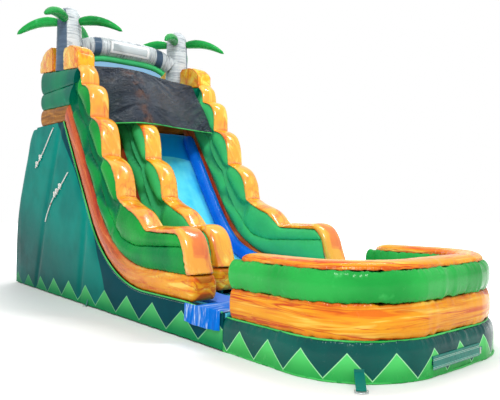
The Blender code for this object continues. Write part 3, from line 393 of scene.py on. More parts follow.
def leafy(light, middle, dark):
    """Bright leaf lobes with painted shade in the valleys between them, and painted light on everything right of the
    left wall's outer side, which takes in the sides that face the lanes.
    """
    def paint(finish, place, _):
        colour = finish.mix(finish.patches(place, 1.3, 2.0, 0.35, 0.7), light, middle)
        # Painted shade: the valleys between the lobes take a darker teal green.
        colour = finish.mix(finish.step(finish.mark("valley"), 0.15, 0.85), colour, dark)
        # Painted light: all but the left wall's outer side is lifted towards a pale bright green.
        painted_lane_light = finish.step(finish.part(place, "X"), -1.30, -1.25)
        return finish.mix(0.42 * painted_lane_light, colour, srgb(110, 255, 170))
    return paint


def rail_paint(finish, place, skin_place):
    """Tan marble outside, and the blue of the lanes on the side that faces the deck."""
    colours = (srgb(206, 140, 54), srgb(164, 104, 34), srgb(132, 78, 26), srgb(98, 56, 24))
    colour = marble(colours, (0.8, 7.0, 1.0))(finish, place, skin_place)
    within = 1 - finish.step(abs(finish.part(place, "X")), 1.150, 1.162)
    within = within * (1 - finish.step(finish.part(place, "Y"), 3.39, 3.41))
    return finish.mix(within, colour, srgb(10, 60, 128))


PALE_MINT = srgb(160, 232, 170)


def under_hills(finish, run, height, period, low, high, phase):
    """How far a point lies under the edge of a row of pointed hills, negative above it."""
    turn = (run + phase) / period
    saw = abs(finish.node("ShaderNodeMath", {"operation": "FRACT"}, {0: turn}) - 0.5) * 2.0
    return low + (high - low) * saw - height


def base_paint(finish, place, skin_place):
    """Pointed pale-green hills with a light edge on dark teal, round the foot of the pool."""
    height = finish.part(place, "Z")
    over = under_hills(finish, finish.part(skin_place, "X"), height, 0.50, 0.03, 0.30, 50.49)
    ground = finish.mix(finish.patches(place, 1.3, 3.0, 0.35, 0.7), srgb(0, 94, 84), srgb(0, 72, 70))
    hills = finish.mix(finish.step(height, 0.02, 0.26), srgb(44, 168, 76), srgb(84, 212, 108))
    colour = finish.mix(finish.step(over, -0.002, 0.002), ground, hills)
    return finish.mix(1 - finish.step(abs(over), 0.005, 0.010), colour, PALE_MINT)


def panel_paint(finish, place, _):
    """Teal sides: a petrol band that sweeps down beside the wall, low green hills along the ground, and painted shade
    that darkens the teal towards the ground and the rear.
    """
    run, height = (finish.part(place, axis) for axis in "YZ")
    soft = finish.noise(place, 1.3, 3.0)
    sweep = 0.10 + 0.42 * height + 0.085 * height * height + 0.10 * (soft - 0.5)
    # Painted shade: the teal darkens towards the ground and towards the rear.
    teal = finish.mix(finish.step(height - 0.35 * (run - 2.6), 0.0, 1.9), srgb(4, 78, 76), srgb(4, 146, 132))
    teal = finish.mix(0.6 * finish.step(soft, 0.35, 0.7), teal, srgb(4, 112, 106))
    colour = finish.mix(finish.step(run - sweep, -0.012, 0.012), srgb(2, 70, 80), teal)
    rearward = finish.step(run, 1.6, 4.8)
    over = under_hills(finish, run, height, 0.80, 0.06, 0.37, 50.12) - 0.10 * rearward
    hills = finish.mix(finish.step(height, 0.03, 0.34), srgb(20, 134, 78), srgb(84, 192, 110))
    hills = finish.mix(0.45 * rearward, hills, srgb(20, 112, 84))
    colour = finish.mix(finish.step(over, -0.006, 0.006), colour, hills)
    edge = 1 - finish.step(abs(over), 0.006, 0.012)
    return finish.mix(edge * (0.55 - 0.45 * rearward), colour, PALE_MINT)


def strip_paint(finish, place, skin_place):
    """Red-orange down the slope, turning to orange and yellow at the foot."""
    red = flame(0.92, 0.8, 9.0, 1.0)(finish, place, skin_place)
    warm = flame(0.20, 3.0, 0.9, 7.0, on_skin=False)(finish, place, skin_place)
    drift = 0.7 * (finish.noise(place, 1.2, 2.0) - 0.5)
    return finish.mix(finish.step(finish.part(place, "Y") + drift, -1.9, 0.5), warm, red)


def rock_paint(finish, place, _):
    """Mottled stone print of browns, ochre, black and pale flecks, and the blue foot of the climbing lane."""
    blobs = finish.node("ShaderNodeTexVoronoi", {"feature": "F1"}, {"Vector": place, "Scale": 9.0}, "Color")
    tone = finish.part(blobs, "X") * 0.6 + finish.noise(place, 14.0, 5.0) * 0.4
    stops = [(0.20, srgb(40, 32, 28)), (0.34, srgb(120, 70, 34)), (0.46, srgb(206, 140, 56)),
             (0.56, srgb(236, 190, 96)), (0.66, srgb(84, 66, 54)), (0.76, srgb(236, 226, 214))]
    beyond_foot = finish.step(finish.part(place, "Y"), -1.05, -1.0)
    return finish.mix(beyond_foot, srgb(70, 130, 236), finish.ramp(tone, stops))


def zip_paint(finish, place, _):
    """Bright teal with two pairs of pale lines along the cover."""
    colour = finish.mix(finish.noise(place, 6.0, 3.0), srgb(8, 138, 120), srgb(4, 100, 92))
    off = abs(abs(abs(finish.part(place, "Z") - 0.148) - 0.040) - 0.007)
    return finish.mix(0.8 * (1 - finish.step(off, 0.0015, 0.0035)), colour, srgb(150, 214, 200))


def trunk_paint(finish, place, _):
    """Silver-grey marble with thin dark lines that lie level."""
    veins = finish.noise(finish.scaled(place, 0.7, 0.7, 9.0), 1.6, 6.0, 0.6, 1.2)
    stops = [(0.30, srgb(96, 104, 114)), (0.42, srgb(188, 196, 202)), (0.52, srgb(216, 222, 224)),
             (0.60, srgb(150, 160, 168)), (0.66, srgb(206, 212, 216)), (0.78, srgb(120, 130, 140))]
    return finish.ramp(veins, stops)


def outer_trunk_paint(finish, place, skin_place):
    """The marble, turning slate blue-grey on the trunks' outer side."""
    side = abs(finish.part(place, "X"))
    weave = finish.noise(finish.scaled(place, 1.0, 1.0, 7.0), 3.0, 4.0)
    slate = finish.mix(weave, srgb(58, 78, 102), srgb(104, 124, 146))
    return finish.mix(finish.step(side, 1.425, 1.435), trunk_paint(finish, place, skin_place), slate)


def arch_paint(finish, place, skin_place):
    """The trunks' marble with a slate ring near each end."""
    tipped = finish.node("ShaderNodeVectorRotate", {"rotation_type": "Y_AXIS"}, {"Vector": place, "Angle": math.pi / 2})
    ring = 1 - finish.step(abs(abs(finish.part(place, "X")) - 0.74), 0.075, 0.085)
    return finish.mix(ring, trunk_paint(finish, tipped, skin_place), srgb(70, 92, 116))


def bed_paint(finish, place, _):
    """Light cyan, with a painted shadow of the cover in royal blue over the top of the lane, down to a curved edge."""
    side = finish.part(place, "X") - 0.42
    # Painted shadow: above this gently curved line the lane turns royal blue, where the cover's shadow falls.
    edge = finish.part(place, "Z") - 2.86 + 0.06 * side * side * 4
    cyan = finish.mix(finish.patches(place, 2.0, 3.0, 0.4, 0.7), srgb(100, 232, 255), srgb(66, 208, 252))
    return finish.mix(finish.step(edge, -0.01, 0.01), cyan, srgb(14, 172, 255))


def mat_paint(finish, place, _):
    """Blue with violet and white streaks that run out over the edge."""
    streaks = finish.noise(finish.scaled(place, 2.2, 14.0, 2.2), 1.0, 4.0, 0.6, 0.8)
    stops = [(0.36, srgb(2, 104, 208)), (0.50, srgb(10, 120, 224)), (0.57, srgb(96, 140, 224)),
             (0.63, srgb(190, 220, 250)), (0.76, srgb(4, 88, 200))]
    return finish.ramp(streaks, stops)


def make_finishes():
    leaves = leafy(srgb(34, 168, 66), srgb(16, 140, 58), srgb(6, 116, 72))
    deep_leaves = leafy(srgb(26, 160, 70), srgb(8, 130, 68), srgb(4, 106, 74))
    pool_leaves = plain(srgb(40, 180, 74), srgb(16, 150, 56), srgb(84, 212, 112))
    gathered = (0.030, 22.0)
    return {
        "panel": vinyl("teal_panel", panel_paint, 0.36, 0.006, 8.0, 1.06),
        "strip": vinyl("flame_strip", strip_paint),
        "green": vinyl("wall_green", leaves, 0.25, ior=1.1),
        "deep_green": vinyl("wall_deep_green", deep_leaves, 0.25, ior=1.1),
        "rail_green": vinyl("rail_green", plain(srgb(4, 134, 94), srgb(2, 104, 90), srgb(44, 170, 134)), 0.3, ior=1.08),
        "tan": vinyl("rail_tan", rail_paint, ior=1.08),
        "cap_left": vinyl("flame_cap_left", cap_flame(0.22), 0.16, ior=1.5),
        "cap_middle": vinyl("flame_cap_middle", cap_flame(0.0), 0.16, ior=1.5),
        "cap_right": vinyl("flame_cap_right", cap_flame(0.05), 0.16, ior=1.5),
        "post": vinyl("flame_post", flame(0.0, 2.6, 2.6, 1.6, on_skin=False, veins=0.6), ior=1.3),
        "pool_flame": vinyl("flame_pool", flame(0.24, 0.5, 9.0, 1.0, scale=1.1, veins=0.9), 0.2, *gathered, 1.19),
        "rim": vinyl("flame_rim", flame(0.22, 0.8, 9.0, 1.0, veins=0.9), 0.2, *gathered, 1.19),
        "pool_green": vinyl("pool_green", pool_leaves, 0.18, *gathered),
        "base": vinyl("pool_base", base_paint, 0.2, *gathered, 1.19),
        "mint": vinyl("mint_piping", plain(srgb(80, 205, 104), srgb(44, 170, 74)), 0.35),
        "cyan": vinyl("pool_cyan", plain(srgb(92, 218, 252), srgb(60, 190, 240))),
        "bed_cyan": vinyl("bed_cyan", bed_paint, 0.3),
        "blue": vinyl("bed_blue", plain(srgb(10, 118, 240), srgb(4, 90, 214), srgb(50, 156, 250))),
        "mat": vinyl("mat_blue", mat_paint, 0.3, 0.006, 16.0, 1.06),
        "rock": vinyl("rock_print", rock_paint, 0.38),
        "trunk": vinyl("trunk_marble", outer_trunk_paint, 0.28),
        "arch": vinyl("arch_marble", arch_paint, 0.28),
        "frond": vinyl("frond_green", plain(srgb(26, 172, 74), srgb(8, 128, 54), srgb(96, 214, 140)), 0.24),
        "teal": vinyl("teal_vinyl", plain(srgb(14, 126, 112), srgb(8, 100, 96), srgb(90, 190, 170)), 0.3),
        "ground": vinyl("ground_vinyl", plain(srgb(40, 42, 44), srgb(26, 28, 30)), 0.6),
    }


# Skins


def ripple(places, spacing, seed):
    """Smooth irregular waves from -1 to 1 at the given distances along a seam."""
    draw = np.random.default_rng(seed)
    scaled = (np.asarray(places) - np.min(places)) / spacing
    knot = np.floor(scaled).astype(int)
    heights = draw.uniform(-1.0, 1.0, knot.max() + 2)
    blend = (1 - np.cos(np.pi * (scaled - knot))) / 2
    return heights[knot] * (1 - blend) + heights[knot + 1] * blend


def gathers(along, from_seam, height, reach, seed, spacing=0.032):
    """Folds that stand across a seam and die out with the distance from it."""
    fold = 0.7 * ripple(along, spacing, seed) + 0.5 * ripple(along, spacing * 3.7, seed + 1)
    return height * fold[:, None] * np.exp(-from_seam / reach)


def mark_points(mesh, name, values):
    """Keeps one number at each point of a mesh, for its finish to read."""
    attribute = mesh.attributes.new(name, "FLOAT", "POINT")
    attribute.data.foreach_set("value", np.array(values, np.float32))


def skin(name, grid, finish, seam=0.0, relief=None, closed=True, outward=None, along=None):
    """A mesh over a grid of points, rows along it and columns round it, raised by `relief` along its normals."""
    grid = np.array(grid, float)
    rows, columns = grid.shape[:2]
    across = np.roll(grid, -1, 1) - np.roll(grid, 1, 1) if closed else np.gradient(grid, axis=1)
    normal = np.cross(across, np.gradient(grid, axis=0))
    normal /= np.maximum(np.linalg.norm(normal, axis=2, keepdims=True), 1e-9)
    facing = grid - grid.mean(axis=1, keepdims=True) if outward is None else np.asarray(outward, float)
    turned = np.sum(normal * facing) < 0
    order = -1 if turned else 1
    if relief is not None:
        grid = grid + order * normal * relief[..., None]
    if along is None:
        along = walked(grid.mean(axis=1))
    ring = np.concatenate([grid, grid[:, :1]], axis=1) if closed else grid
    girth = np.append(0.0, np.cumsum(np.linalg.norm(np.diff(ring, axis=1), axis=2).mean(axis=0)))
    row, column = (part.ravel() for part in np.indices((rows - 1, columns if closed else columns - 1)))
    corners = [(row, column), (row, column + 1), (row + 1, column + 1), (row + 1, column)][::order]
    faces = np.stack([level * columns + place % columns for level, place in corners], axis=1).tolist()
    loops = np.stack([np.stack([along[level], girth[place]], 1) for level, place in corners], axis=1)
    loops = loops.reshape(-1, 2).tolist()
    points = grid.reshape(-1, 3).tolist()
    nearness = np.broadcast_to(seam, (rows, columns)).ravel().tolist()
    if closed:
        for end, flip in ((0, turned), (rows - 1, not turned)):
            points.append(grid[end].mean(axis=0).tolist())
            nearness.append(0.0)
            for place in range(columns):
                edge = (end * columns + place, end * columns + (place + 1) % columns)
                faces.append((*edge[::1 if flip else -1], len(points) - 1))
                loops += [[float(along[end]), float(girth[place])]] * 3
    mesh = bpy.data.meshes.new(name)
    mesh.from_pydata(points, [], faces)
    mesh.uv_layers.new(name="skin").data.foreach_set("uv", np.array(loops, np.float32).ravel())
    mark_points(mesh, "seam", nearness)
    mesh.shade_smooth()
    mesh.set_sharp_from_angle(angle=math.radians(65.0))
    return link(name, mesh, finish)


def sheet_grid(x, y, z):
    """A grid of points from coordinates that run along its rows, its columns or both."""
    return np.dstack(np.broadcast_arrays(x, y, z))


def sheet_skin(name, grid, finish, outward, thickness, slot, *nodes, seam=0.0, relief=None, along=None, body="slide"):
    """A dressed open skin with a thickness behind it; `outward` is the way that it faces."""
    piece = skin(name, grid, finish, seam, relief, False, outward, along)
    piece.modifiers.new("thickness", "SOLIDIFY").thickness = thickness
    return dress(piece, slot, *nodes, body=body)


def bulge(share, power=2.4, fullness=0.6):
    """How full a tube's face stands between its seams, from 0 at a seam to 1 in the middle."""
    return (1 - np.abs(2 * np.asarray(share) - 1) ** power) ** fullness


def face_shares():
    """Places across a face, closer together near its seams."""
    return (1 - np.cos(np.linspace(0.0, np.pi, FACE_CUTS))) / 2


def tube_columns(seam_depth, outer, inner):
    """(across the width, share of height) round a tube: outer face, top, inner face, bottom."""
    outside = [(seam_depth * (1 - float(bulge(share))), float(share)) for share in face_shares()]
    level = [seam_depth + (inner - outer - 2 * seam_depth) * part for part in (0.33, 0.67)]
    return [*((outer + inset, share) for inset, share in outside), *((outer + depth, 1.0) for depth in level),
            *((inner - inset, share) for inset, share in reversed(outside)), *((inner - depth, 0.0) for depth in level)]


# The walls

# Layers of a wall's side, each between two seams
WALL_LAYERS = {"strip": ("panel", "strip"), "lower_tube": ("strip", "middle"), "upper_tube": ("middle", "upper")}

# The walls' guide line: its top, the direction of its slope, and metres to the end of its straight part and bend
TOP = Vector(GUIDE_TOP)
SLOPE = Vector((-math.cos(SLOPE_ANGLE), -math.sin(SLOPE_ANGLE)))
STRAIGHT = (GUIDE_TOP[1] - FLAT_HEIGHT) / math.sin(SLOPE_ANGLE) - BEND_RADIUS * math.tan(SLOPE_ANGLE / 2)
BEND_END = STRAIGHT + BEND_RADIUS * SLOPE_ANGLE


def guide(distance):
    """Point (y, z) on the walls' guide line and the unit normal that faces out of the body."""
    if distance <= STRAIGHT:
        angle = SLOPE_ANGLE
        point = TOP + SLOPE * distance
    else:
        centre = TOP + SLOPE * STRAIGHT + BEND_RADIUS * Vector((SLOPE.y, -SLOPE.x))
        angle = max(SLOPE_ANGLE - (distance - STRAIGHT) / BEND_RADIUS, 0.0)
        point = centre + BEND_RADIUS * Vector((math.sin(angle), -math.cos(angle)))
        point.x -= max(distance - BEND_END, 0.0)
    return point, Vector((-math.sin(angle), math.cos(angle)))


def run_out_distance(y):
    return BEND_END + guide(BEND_END)[0].x - y


def step_wave(distance):
    """Offset of the cap's seam: rounded crests, and a sharp trough at each cross seam."""
    corners = sorted(STEP_TROUGHS + STEP_CRESTS)
    end, end_offset = corners[-1]
    if distance >= end:
        blend = min((distance - end) / RUN_OUT_BLEND, 1.0)
        return end_offset + (RUN_OUT_OFFSET - end_offset) * blend
    near, far = next(pair for pair in zip(corners, corners[1:]) if distance <= pair[1][0])
    low, high = (near, far) if near in STEP_TROUGHS else (far, near)
    share = (distance - low[0]) / (high[0] - low[0])
    return low[1] + (high[1] - low[1]) * math.sin(share * math.pi / 2)


def crest_share(distance):
    """0 at a trough of the steps and 1 at a crest."""
    last = STEP_TROUGHS[-1][0]
    if distance >= last:
        return min((distance - last) / 0.25, 1.0)
    trough, crest = (min((place for place, _ in line), key=lambda place: abs(place - distance))
                     for line in (STEP_TROUGHS, STEP_CRESTS))
    share = abs(distance - trough) / max(abs(crest - trough), 0.001)
    return math.sin(min(share, 1.0) * math.pi / 2)


def mitre_point(height):
    return Vector((GUIDE_TOP[0] - MITRE_LEAN * (height - GUIDE_TOP[1]), height))


def mitre_lean(seam):
    return (mitre_point(MITRE_HEIGHTS[seam]) - TOP).dot(SLOPE)


def leaning_place(distance, lean):
    return distance if distance >= LEAN_REACH else lean + distance * (1 - lean / LEAN_REACH)


def seam_offset(seam, distance):
    if seam in ("panel", "strip"):
        return PANEL_OFFSET if seam == "panel" else 0.0
    if seam == "upper":
        return step_wave(distance)
    wave = step_wave(distance) - STEP_TROUGHS[2][1] if distance < LAST_SCALLOP else 0.0
    return looked_up(distance, MIDDLE_SEAM) + SCALLOP_SHARE * wave


def seam_point(seam, distance, shift=0.0):
    """Point (y, z) of a seam at a station; `shift` moves it along the normal."""
    start = mitre_point(MITRE_HEIGHTS[seam]) - TOP
    place = leaning_place(distance, mitre_lean(seam))
    point, normal = guide(place)
    blend = min(distance / MITRE_BLEND, 1.0)
    offset = start.dot(normal) * (1 - blend) + seam_offset(seam, place) * blend
    return point + normal * (offset + shift)


def end_drop(distance, last):
    """How far the wall's rounded end falls away."""
    run = max(distance - (last - END_ROUND), 0.0)
    return END_ROUND - math.sqrt(max(END_ROUND ** 2 - run ** 2, 0.0))


def slant(distance, last, height):
    """How far back the wall's end leans at a height."""
    near = min(max((distance - last + 0.6) / 0.6, 0.0), 1.0)
    return END_SLANT * near ** 2 * max(height - FLAT_HEIGHT, 0.0) / RUN_OUT_OFFSET


def leaf_share(place, leaves):
    """Share of the way along the leaf that `place` falls in, or None between leaves."""
    return next(((place - start) / (end - start) for start, end in leaves if start <= place <= end), None)


def puff(offset, low, high, share):
    """How full a leaf stands at an offset between its edges, and at a share of its length."""
    if not low < offset < high:
        return 0.0
    return bulge((offset - low) / (high - low), 2.2, 0.5) * min(math.sin(math.pi * share) * 2.2, 1.0) ** 0.6


def valley_depth(place, offset, crest):
    """0 on the leaf-shaped lobes of a wall's green side and 1 in the valley between them."""
    full = 0.0
    share = leaf_share(place, LOWER_LEAVES)
    if share is not None:
        full = puff(offset, -0.01, 0.10 + 0.27 * math.sin(math.pi * share ** 2.2 * 0.98) ** 0.7, share)
    share = leaf_share(place, UPPER_LEAVES)
    if share is not None:
        low = crest - 0.06 - 0.33 * math.sin(math.pi * share ** 0.75) ** 0.8
        full = max(full, puff(offset, low, crest + 0.02, share))
    return 1 - full


def strip_toe(x, share, reach, centre, end_y):
    """Rings of the strip's blunt toe, `reach` ahead of the wall's end, and the strip's height there."""
    low, high = FLAT_HEIGHT + PANEL_OFFSET + GAP / 2, FLAT_HEIGHT - GAP / 2
    part = (reach / TOE_REACH)[:, None]
    size = np.maximum((1 - part ** 5) ** 0.25, 0.45)
    middle = (low + high) / 2
    level = middle + (low + (high - low) * share - middle) * size
    across = centre + (x - centre) * (1 - part ** 4 * (1 - size) * 0.9)
    return sheet_grid(across, end_y - reach[:, None], level), high - low


def wall_layer(side, layer, span, first, end_y, finish, slot, seed):
    """One tube of a wall, from the tower's mitre down to the wall's rounded end."""
    seams = WALL_LAYERS[layer]
    last = run_out_distance(end_y)
    along = np.append(np.arange(first, last, WALL_STEP), last)
    columns = tube_columns(0.055, *span)
    x, share = np.transpose(columns)
    grid, heights, valley = [], [], []
    for distance in along:
        low, high = (seam_point(seam, distance, shift) for seam, shift in zip(seams, (GAP / 2, -GAP / 2)))
        if layer == "upper_tube":
            high.y -= end_drop(distance, last)
        heights.append((high - low).length)
        ring = [(across, *(low + (high - low) * part)) for across, part in columns]
        grid.append([(across, y + slant(distance, last, z), z) for across, y, z in ring])
        place = leaning_place(distance, 0.0)
        bottom, top, crest = (seam_offset(seam, place) for seam in (*seams, "upper"))
        leafy = min(max((LOWER_LEAVES[-1][1] + 0.1 - place) / 0.35, 0.0), 1.0)
        valley.append([leafy * valley_depth(place, bottom + (top - bottom) * part, crest) for part in share])
    grid = np.array(grid)
    if layer == "strip":
        reach = np.append(np.arange(0.008, TOE_REACH, 0.008), TOE_REACH)
        toe, height = strip_toe(x, share, reach, sum(span) / 2, end_y)
        grid = np.concatenate([grid, toe])
        heights += [height] * len(reach)
        along = np.append(along, last + reach)
    from_seam = np.minimum(share, 1 - share) * np.array(heights)[:, None]
    relief = gathers(along, from_seam, 0.007, 0.05, seed, 0.045)
    if layer != "strip":
        valley = np.array(valley)
        for _ in range(4):
            valley[1:-1] = (valley[:-2] + 2 * valley[1:-1] + valley[2:]) / 4
        valley *= (share > 0.0) & (share < 1.0)
        inward = np.where(x < sum(span) / 2, 1.0, -1.0)
        grid[..., 0] += VALLEY_DEPTH * valley * (1 - np.exp(-from_seam / 0.05)) * inward
    name = f"{side}_wall_{layer}"
    piece = skin(name, grid, finish, np.exp(-from_seam / 0.035), relief, along=along)
    if layer != "strip":
        mark_points(piece.data, "valley", [*valley.ravel(), 0.0, 0.0])
    return dress(piece, slot, name)


def wall_cap(side, span, first, end_y, finish, seed):
    """The stair-stepped cap: pillows between cross seams, then down over the wall's end."""
    last = run_out_distance(end_y)
    thin, thick = CAP_THICKNESS
    shallow, deep = CAP_FRONT
    mitre_normal = Vector((-MITRE_LEAN, 1.0)).normalized()
    path = []
    for distance in np.append(np.arange(first, last, WALL_STEP), last):
        base = seam_point("upper", distance, GAP / 2)
        base.y -= end_drop(distance, last)
        base.x += slant(distance, last, base.y)
        place = leaning_place(distance, mitre_lean("upper"))
        normal = guide(place)[1].lerp(mitre_normal, max(1 - distance / MITRE_BLEND, 0.0)).normalized()
        turn = max(distance - (last - END_ROUND), 0.0) / END_ROUND
        off = min(abs(place - trough) for trough, _ in STEP_TROUGHS)
        front = min(max((distance - last + 0.7) / 0.7, 0.0), 1.0)
        full = thin + (thick - thin) * crest_share(place)
        full += (shallow - full) * front ** 2
        path.append((distance, base, Matrix.Rotation(turn * math.pi / 2, 2) @ normal, full, off, front))
    low = path[-1][1].y
    for height in np.append(np.arange(low - 0.010, CAP_END_HEIGHT, -0.010), CAP_END_HEIGHT):
        rise = height - CAP_END_HEIGHT
        full = 0.80 + 0.20 * (1 - max(1 - rise / 0.03, 0.0) ** 2) ** 0.5
        full *= shallow + (deep - shallow) * (low - height) / (low - CAP_END_HEIGHT)
        foot = Vector((end_y - GAP + slant(last, last, height), height))
        path.append((last + low - height, foot, Vector((-1.0, 0.0)), full, rise, 1.0))
    middle, half = sum(span) / 2, (span[1] - span[0]) / 2
    turns = np.linspace(0.0, np.pi, 33)
    cosine, sine = np.cos(turns), np.sin(turns)
    foot = np.zeros(4)
    grid = []
    for _, base, normal, full, _, front in path:
        slim = half - 0.030 + 0.024 * front
        across = -np.copysign(np.abs(cosine) ** (0.98 - 0.34 * front), cosine) * slim
        x = middle + np.append(across, [slim - 0.03, slim - 0.14, 0.14 - slim, 0.03 - slim])
        lift = np.append(0.10 * (1 - sine) + sine ** (0.95 - 0.30 * front), foot) * full
        grid.append(np.transpose([x, base.x + normal.x * lift, base.y + normal.y * lift]))
    along = np.array([row[0] for row in path])
    off = np.array([[row[4]] for row in path])
    top = np.append(np.ones(len(turns)), foot)
    from_edge = np.append(np.minimum(turns, np.pi - turns) * half, foot + 0.02)
    relief = gathers(along, from_edge, 0.006, 0.045, seed, 0.04)
    folds = ripple(np.append(turns, foot) * half, 0.035, seed + 5)
    relief = relief + top * (0.008 * folds * np.exp(-off / 0.06) - 0.011 * np.exp(-(off / 0.016) ** 2))
    near = np.maximum(np.exp(-off / 0.03) * top, np.exp(-from_edge / 0.03))
    name = f"{side}_wall_cap"
    return dress(skin(name, grid, finish, near, relief, along=along), "orange_marble_vinyl", name)


def walls(finishes):
    spans = {"left": (-HALF_WIDTH, -INNER_X), "middle": MIDDLE_WALL, "right": (INNER_X, HALF_WIDTH)}
    looks = {"strip": ("strip", "red_orange_marble_vinyl"), "lower_tube": ("deep_green", "green_vinyl"),
             "upper_tube": ("green", "green_vinyl")}
    for number, (side, span) in enumerate(spans.items()):
        first, end_y = (0.3, MIDDLE_WALL_END) if side == "middle" else (0.0, SIDE_WALL_END)
        for offset, (layer, (finish, slot)) in enumerate(looks.items()):
            wall_layer(side, layer, span, first, end_y, finishes[finish], slot, 10 * number + offset)
        wall_cap(side, span, first, end_y, finishes[f"cap_{side}"], 40 + number)


# The tower


def rail_height(seam, y, shift=0.0):
    start = mitre_point(MITRE_HEIGHTS[seam])
    slope = (REAR_HEIGHTS[seam] - start.y) / (TOWER_REAR - start.x)
    return start.y + slope * (y - start.x) + shift


def rail_plan():
    """Pairs of plan points, outside and inside, round the tower from the left side to the right."""
    outer_y, inner_y = TOWER_REAR - TOWER_CORNER, TOWER_REAR - TUBE_WIDTH - TOWER_INNER_CORNER
    pairs = [(Vector((-HALF_WIDTH, y)), Vector((-INNER_X, min(y, inner_y))))
             for y in np.arange(RAIL_START, outer_y - 0.01, 0.03)]
    outer_centre = Vector((TOWER_CORNER - HALF_WIDTH, outer_y))
    inner_centre = Vector((TOWER_INNER_CORNER - INNER_X, inner_y))
    for angle in np.radians(np.linspace(0.0, 90.0, 19)):
        outward = Vector((-math.cos(angle), math.sin(angle)))
        pairs.append((outer_centre + outward * TOWER_CORNER, inner_centre + outward * TOWER_INNER_CORNER))
    ends = pairs[-1]
    middles = (Vector((0.0, TOWER_REAR)), Vector((0.0, TOWER_REAR - TUBE_WIDTH)))
    pairs += [tuple(end.lerp(middle, share) for end, middle in zip(ends, middles))
              for share in np.linspace(0.0, 1.0, 40)[1:]]
    flip = Vector((-1.0, 1.0))
    return pairs + [(outer * flip, inner * flip) for outer, inner in reversed(pairs[:-1])]


def rail(name, low_seam, high_seam, finish, slot, seed):
    columns = tube_columns(0.055, 0.0, TUBE_WIDTH)
    depth, share = np.transpose(columns)
    low = mitre_point(MITRE_HEIGHTS[low_seam] + GAP / 2)
    high = mitre_point(MITRE_HEIGHTS[high_seam] - GAP / 2)
    grid = []
    for outer, inner in rail_plan():
        x, y = np.transpose([outer.lerp(inner, part) for part in depth / TUBE_WIDTH])
        bottom, top = rail_height(low_seam, y, GAP / 2), rail_height(high_seam, y, -GAP / 2)
        grid.append(np.transpose([x, y, bottom + (top - bottom) * share]))
    grid = np.array(grid)
    mitre = np.transpose([HALF_WIDTH - depth, low.x + (high.x - low.x) * share + 2 * GAP,
                          low.y + (high.y - low.y) * share])
    for sign, meet in ((-1, grid[0]), (1, grid[-1])):
        start = mitre * (sign, 1.0, 1.0)
        extra = start + (meet - start) * np.linspace(0.0, 1.0, 24)[:-1, None, None]
        grid = np.concatenate([extra, grid] if sign < 0 else [grid, extra[::-1]])
    from_seam = np.minimum(share, 1 - share) * (MITRE_HEIGHTS[high_seam] - MITRE_HEIGHTS[low_seam])
    middle = grid.mean(axis=1)
    along = walked(middle)
    corner = np.exp(-((np.abs(middle[:, 0]) - 1.15) / 0.10) ** 2) * (middle[:, 1] > 3.3)
    relief = gathers(along, from_seam, 0.006, 0.05, seed) + 0.010 * (corner * ripple(along, 0.05, seed + 3))[:, None]
    return dress(skin(name, grid, finish, np.exp(-from_seam / 0.035), relief, along=along), slot, name)


def block(name, outline, span, finish, seed):
    """A rounded pillow block: a smooth side outline swept across `span`, drawn in at its edges."""
    low, high = span
    ends = np.array([0.0, 0.35, 0.65, 0.85, 0.93])
    part = np.linspace(0.0, 1.0, 19)
    x = np.concatenate([low - 0.022 * (1 - ends ** 2), low + (high - low) * part, high + 0.022 * (1 - ends[::-1] ** 2)])
    size = np.concatenate([ends, 1.0 - 0.05 * np.abs(2 * part - 1) ** 5, ends[::-1]])[:, None]
    centre = outline.mean(axis=0)
    scaled = centre + (outline - centre) * np.maximum(size, 0.01)[..., None]
    grid = sheet_grid(x[:, None], scaled[..., 0], scaled[..., 1])
    off = np.abs(np.abs(x - (low + high) / 2) - (high - low) / 2)[:, None]
    relief = 0.006 * ripple(walked(outline), 0.035, seed) * np.exp(-off / 0.04) * (size > 0.9)
    near = np.exp(-off / 0.015) * (size > 0.9)
    return dress(skin(name, grid, finish, near, relief), "orange_marble_vinyl", name)


def posts(finish):
    for side, sign in SIDES:
        span = sorted((sign * (HALF_WIDTH - 0.042), sign * (INNER_X + 0.042)))
        for end, y_end, facing in (("front", 2.42, -1), ("rear", 3.00, 1)):
            y_far = y_end + facing * POST_DEPTH
            level = rail_height("upper", min(y_end, y_far))
            corners = [(y_end - facing * run, level + rise) for run, rise in POST_OUTLINE]
            corners += [(y, rail_height("upper", y, GAP)) for y in (y_end, y_far)]
            outline = []
            for start, after in zip(corners, corners[1:] + corners[:1]):
                steps = max(int((Vector(after) - Vector(start)).length / 0.025), 2)
                outline += [Vector(start).lerp(Vector(after), step / steps) for step in range(steps)]
            outline = np.array([tuple(point) for point in outline])
            for _ in range(6):
                outline = (np.roll(outline, 1, 0) + 2 * outline + np.roll(outline, -1, 0)) / 4
            block(f"{end}_post_{side}", outline, span, finish, 60 + int(y_end * 10) + sign)


def trunks(finish):
    radii, heights = zip(*reversed(TRUNK_PROFILE))
    foot_level, crown_level, crown_height = 4.60, 5.66, 0.27
    crown = crown_level + crown_height * np.sin(np.linspace(0.05, np.pi / 2, 18))
    level = np.append(np.arange(foot_level, crown_level, 0.012), crown)[:, None]
    dome = 0.235 * np.sqrt(np.maximum(1 - ((level - crown_level) / crown_height) ** 2, 0.0002))
    radius = np.where(level > crown_level, dome, np.interp(level, heights, radii))
    off = np.min(np.abs(level - TRUNK_SEAMS), axis=1)[:, None]
    turns = circle(48)
    for side, sign in SIDES:
        x = sign * TRUNK_X + radius * np.cos(turns)
        y = TRUNK_Y + radius * np.sin(turns)
        foot = rail_height("upper", y, GAP)
        grid = sheet_grid(x, y, foot + (level - foot) * np.minimum((level - foot_level) / 0.35, 1.0))
        folds = ripple(turns * 0.25, 0.03, 80 + sign)
        relief = 0.006 * folds * np.exp(-off / 0.035) - 0.008 * np.exp(-(off / 0.012) ** 2)
        name = f"palm_trunk_{side}"
        dress(skin(name, grid, finish, np.exp(-off / 0.02), relief * (level < 5.85)), "grey_marble_vinyl", name)


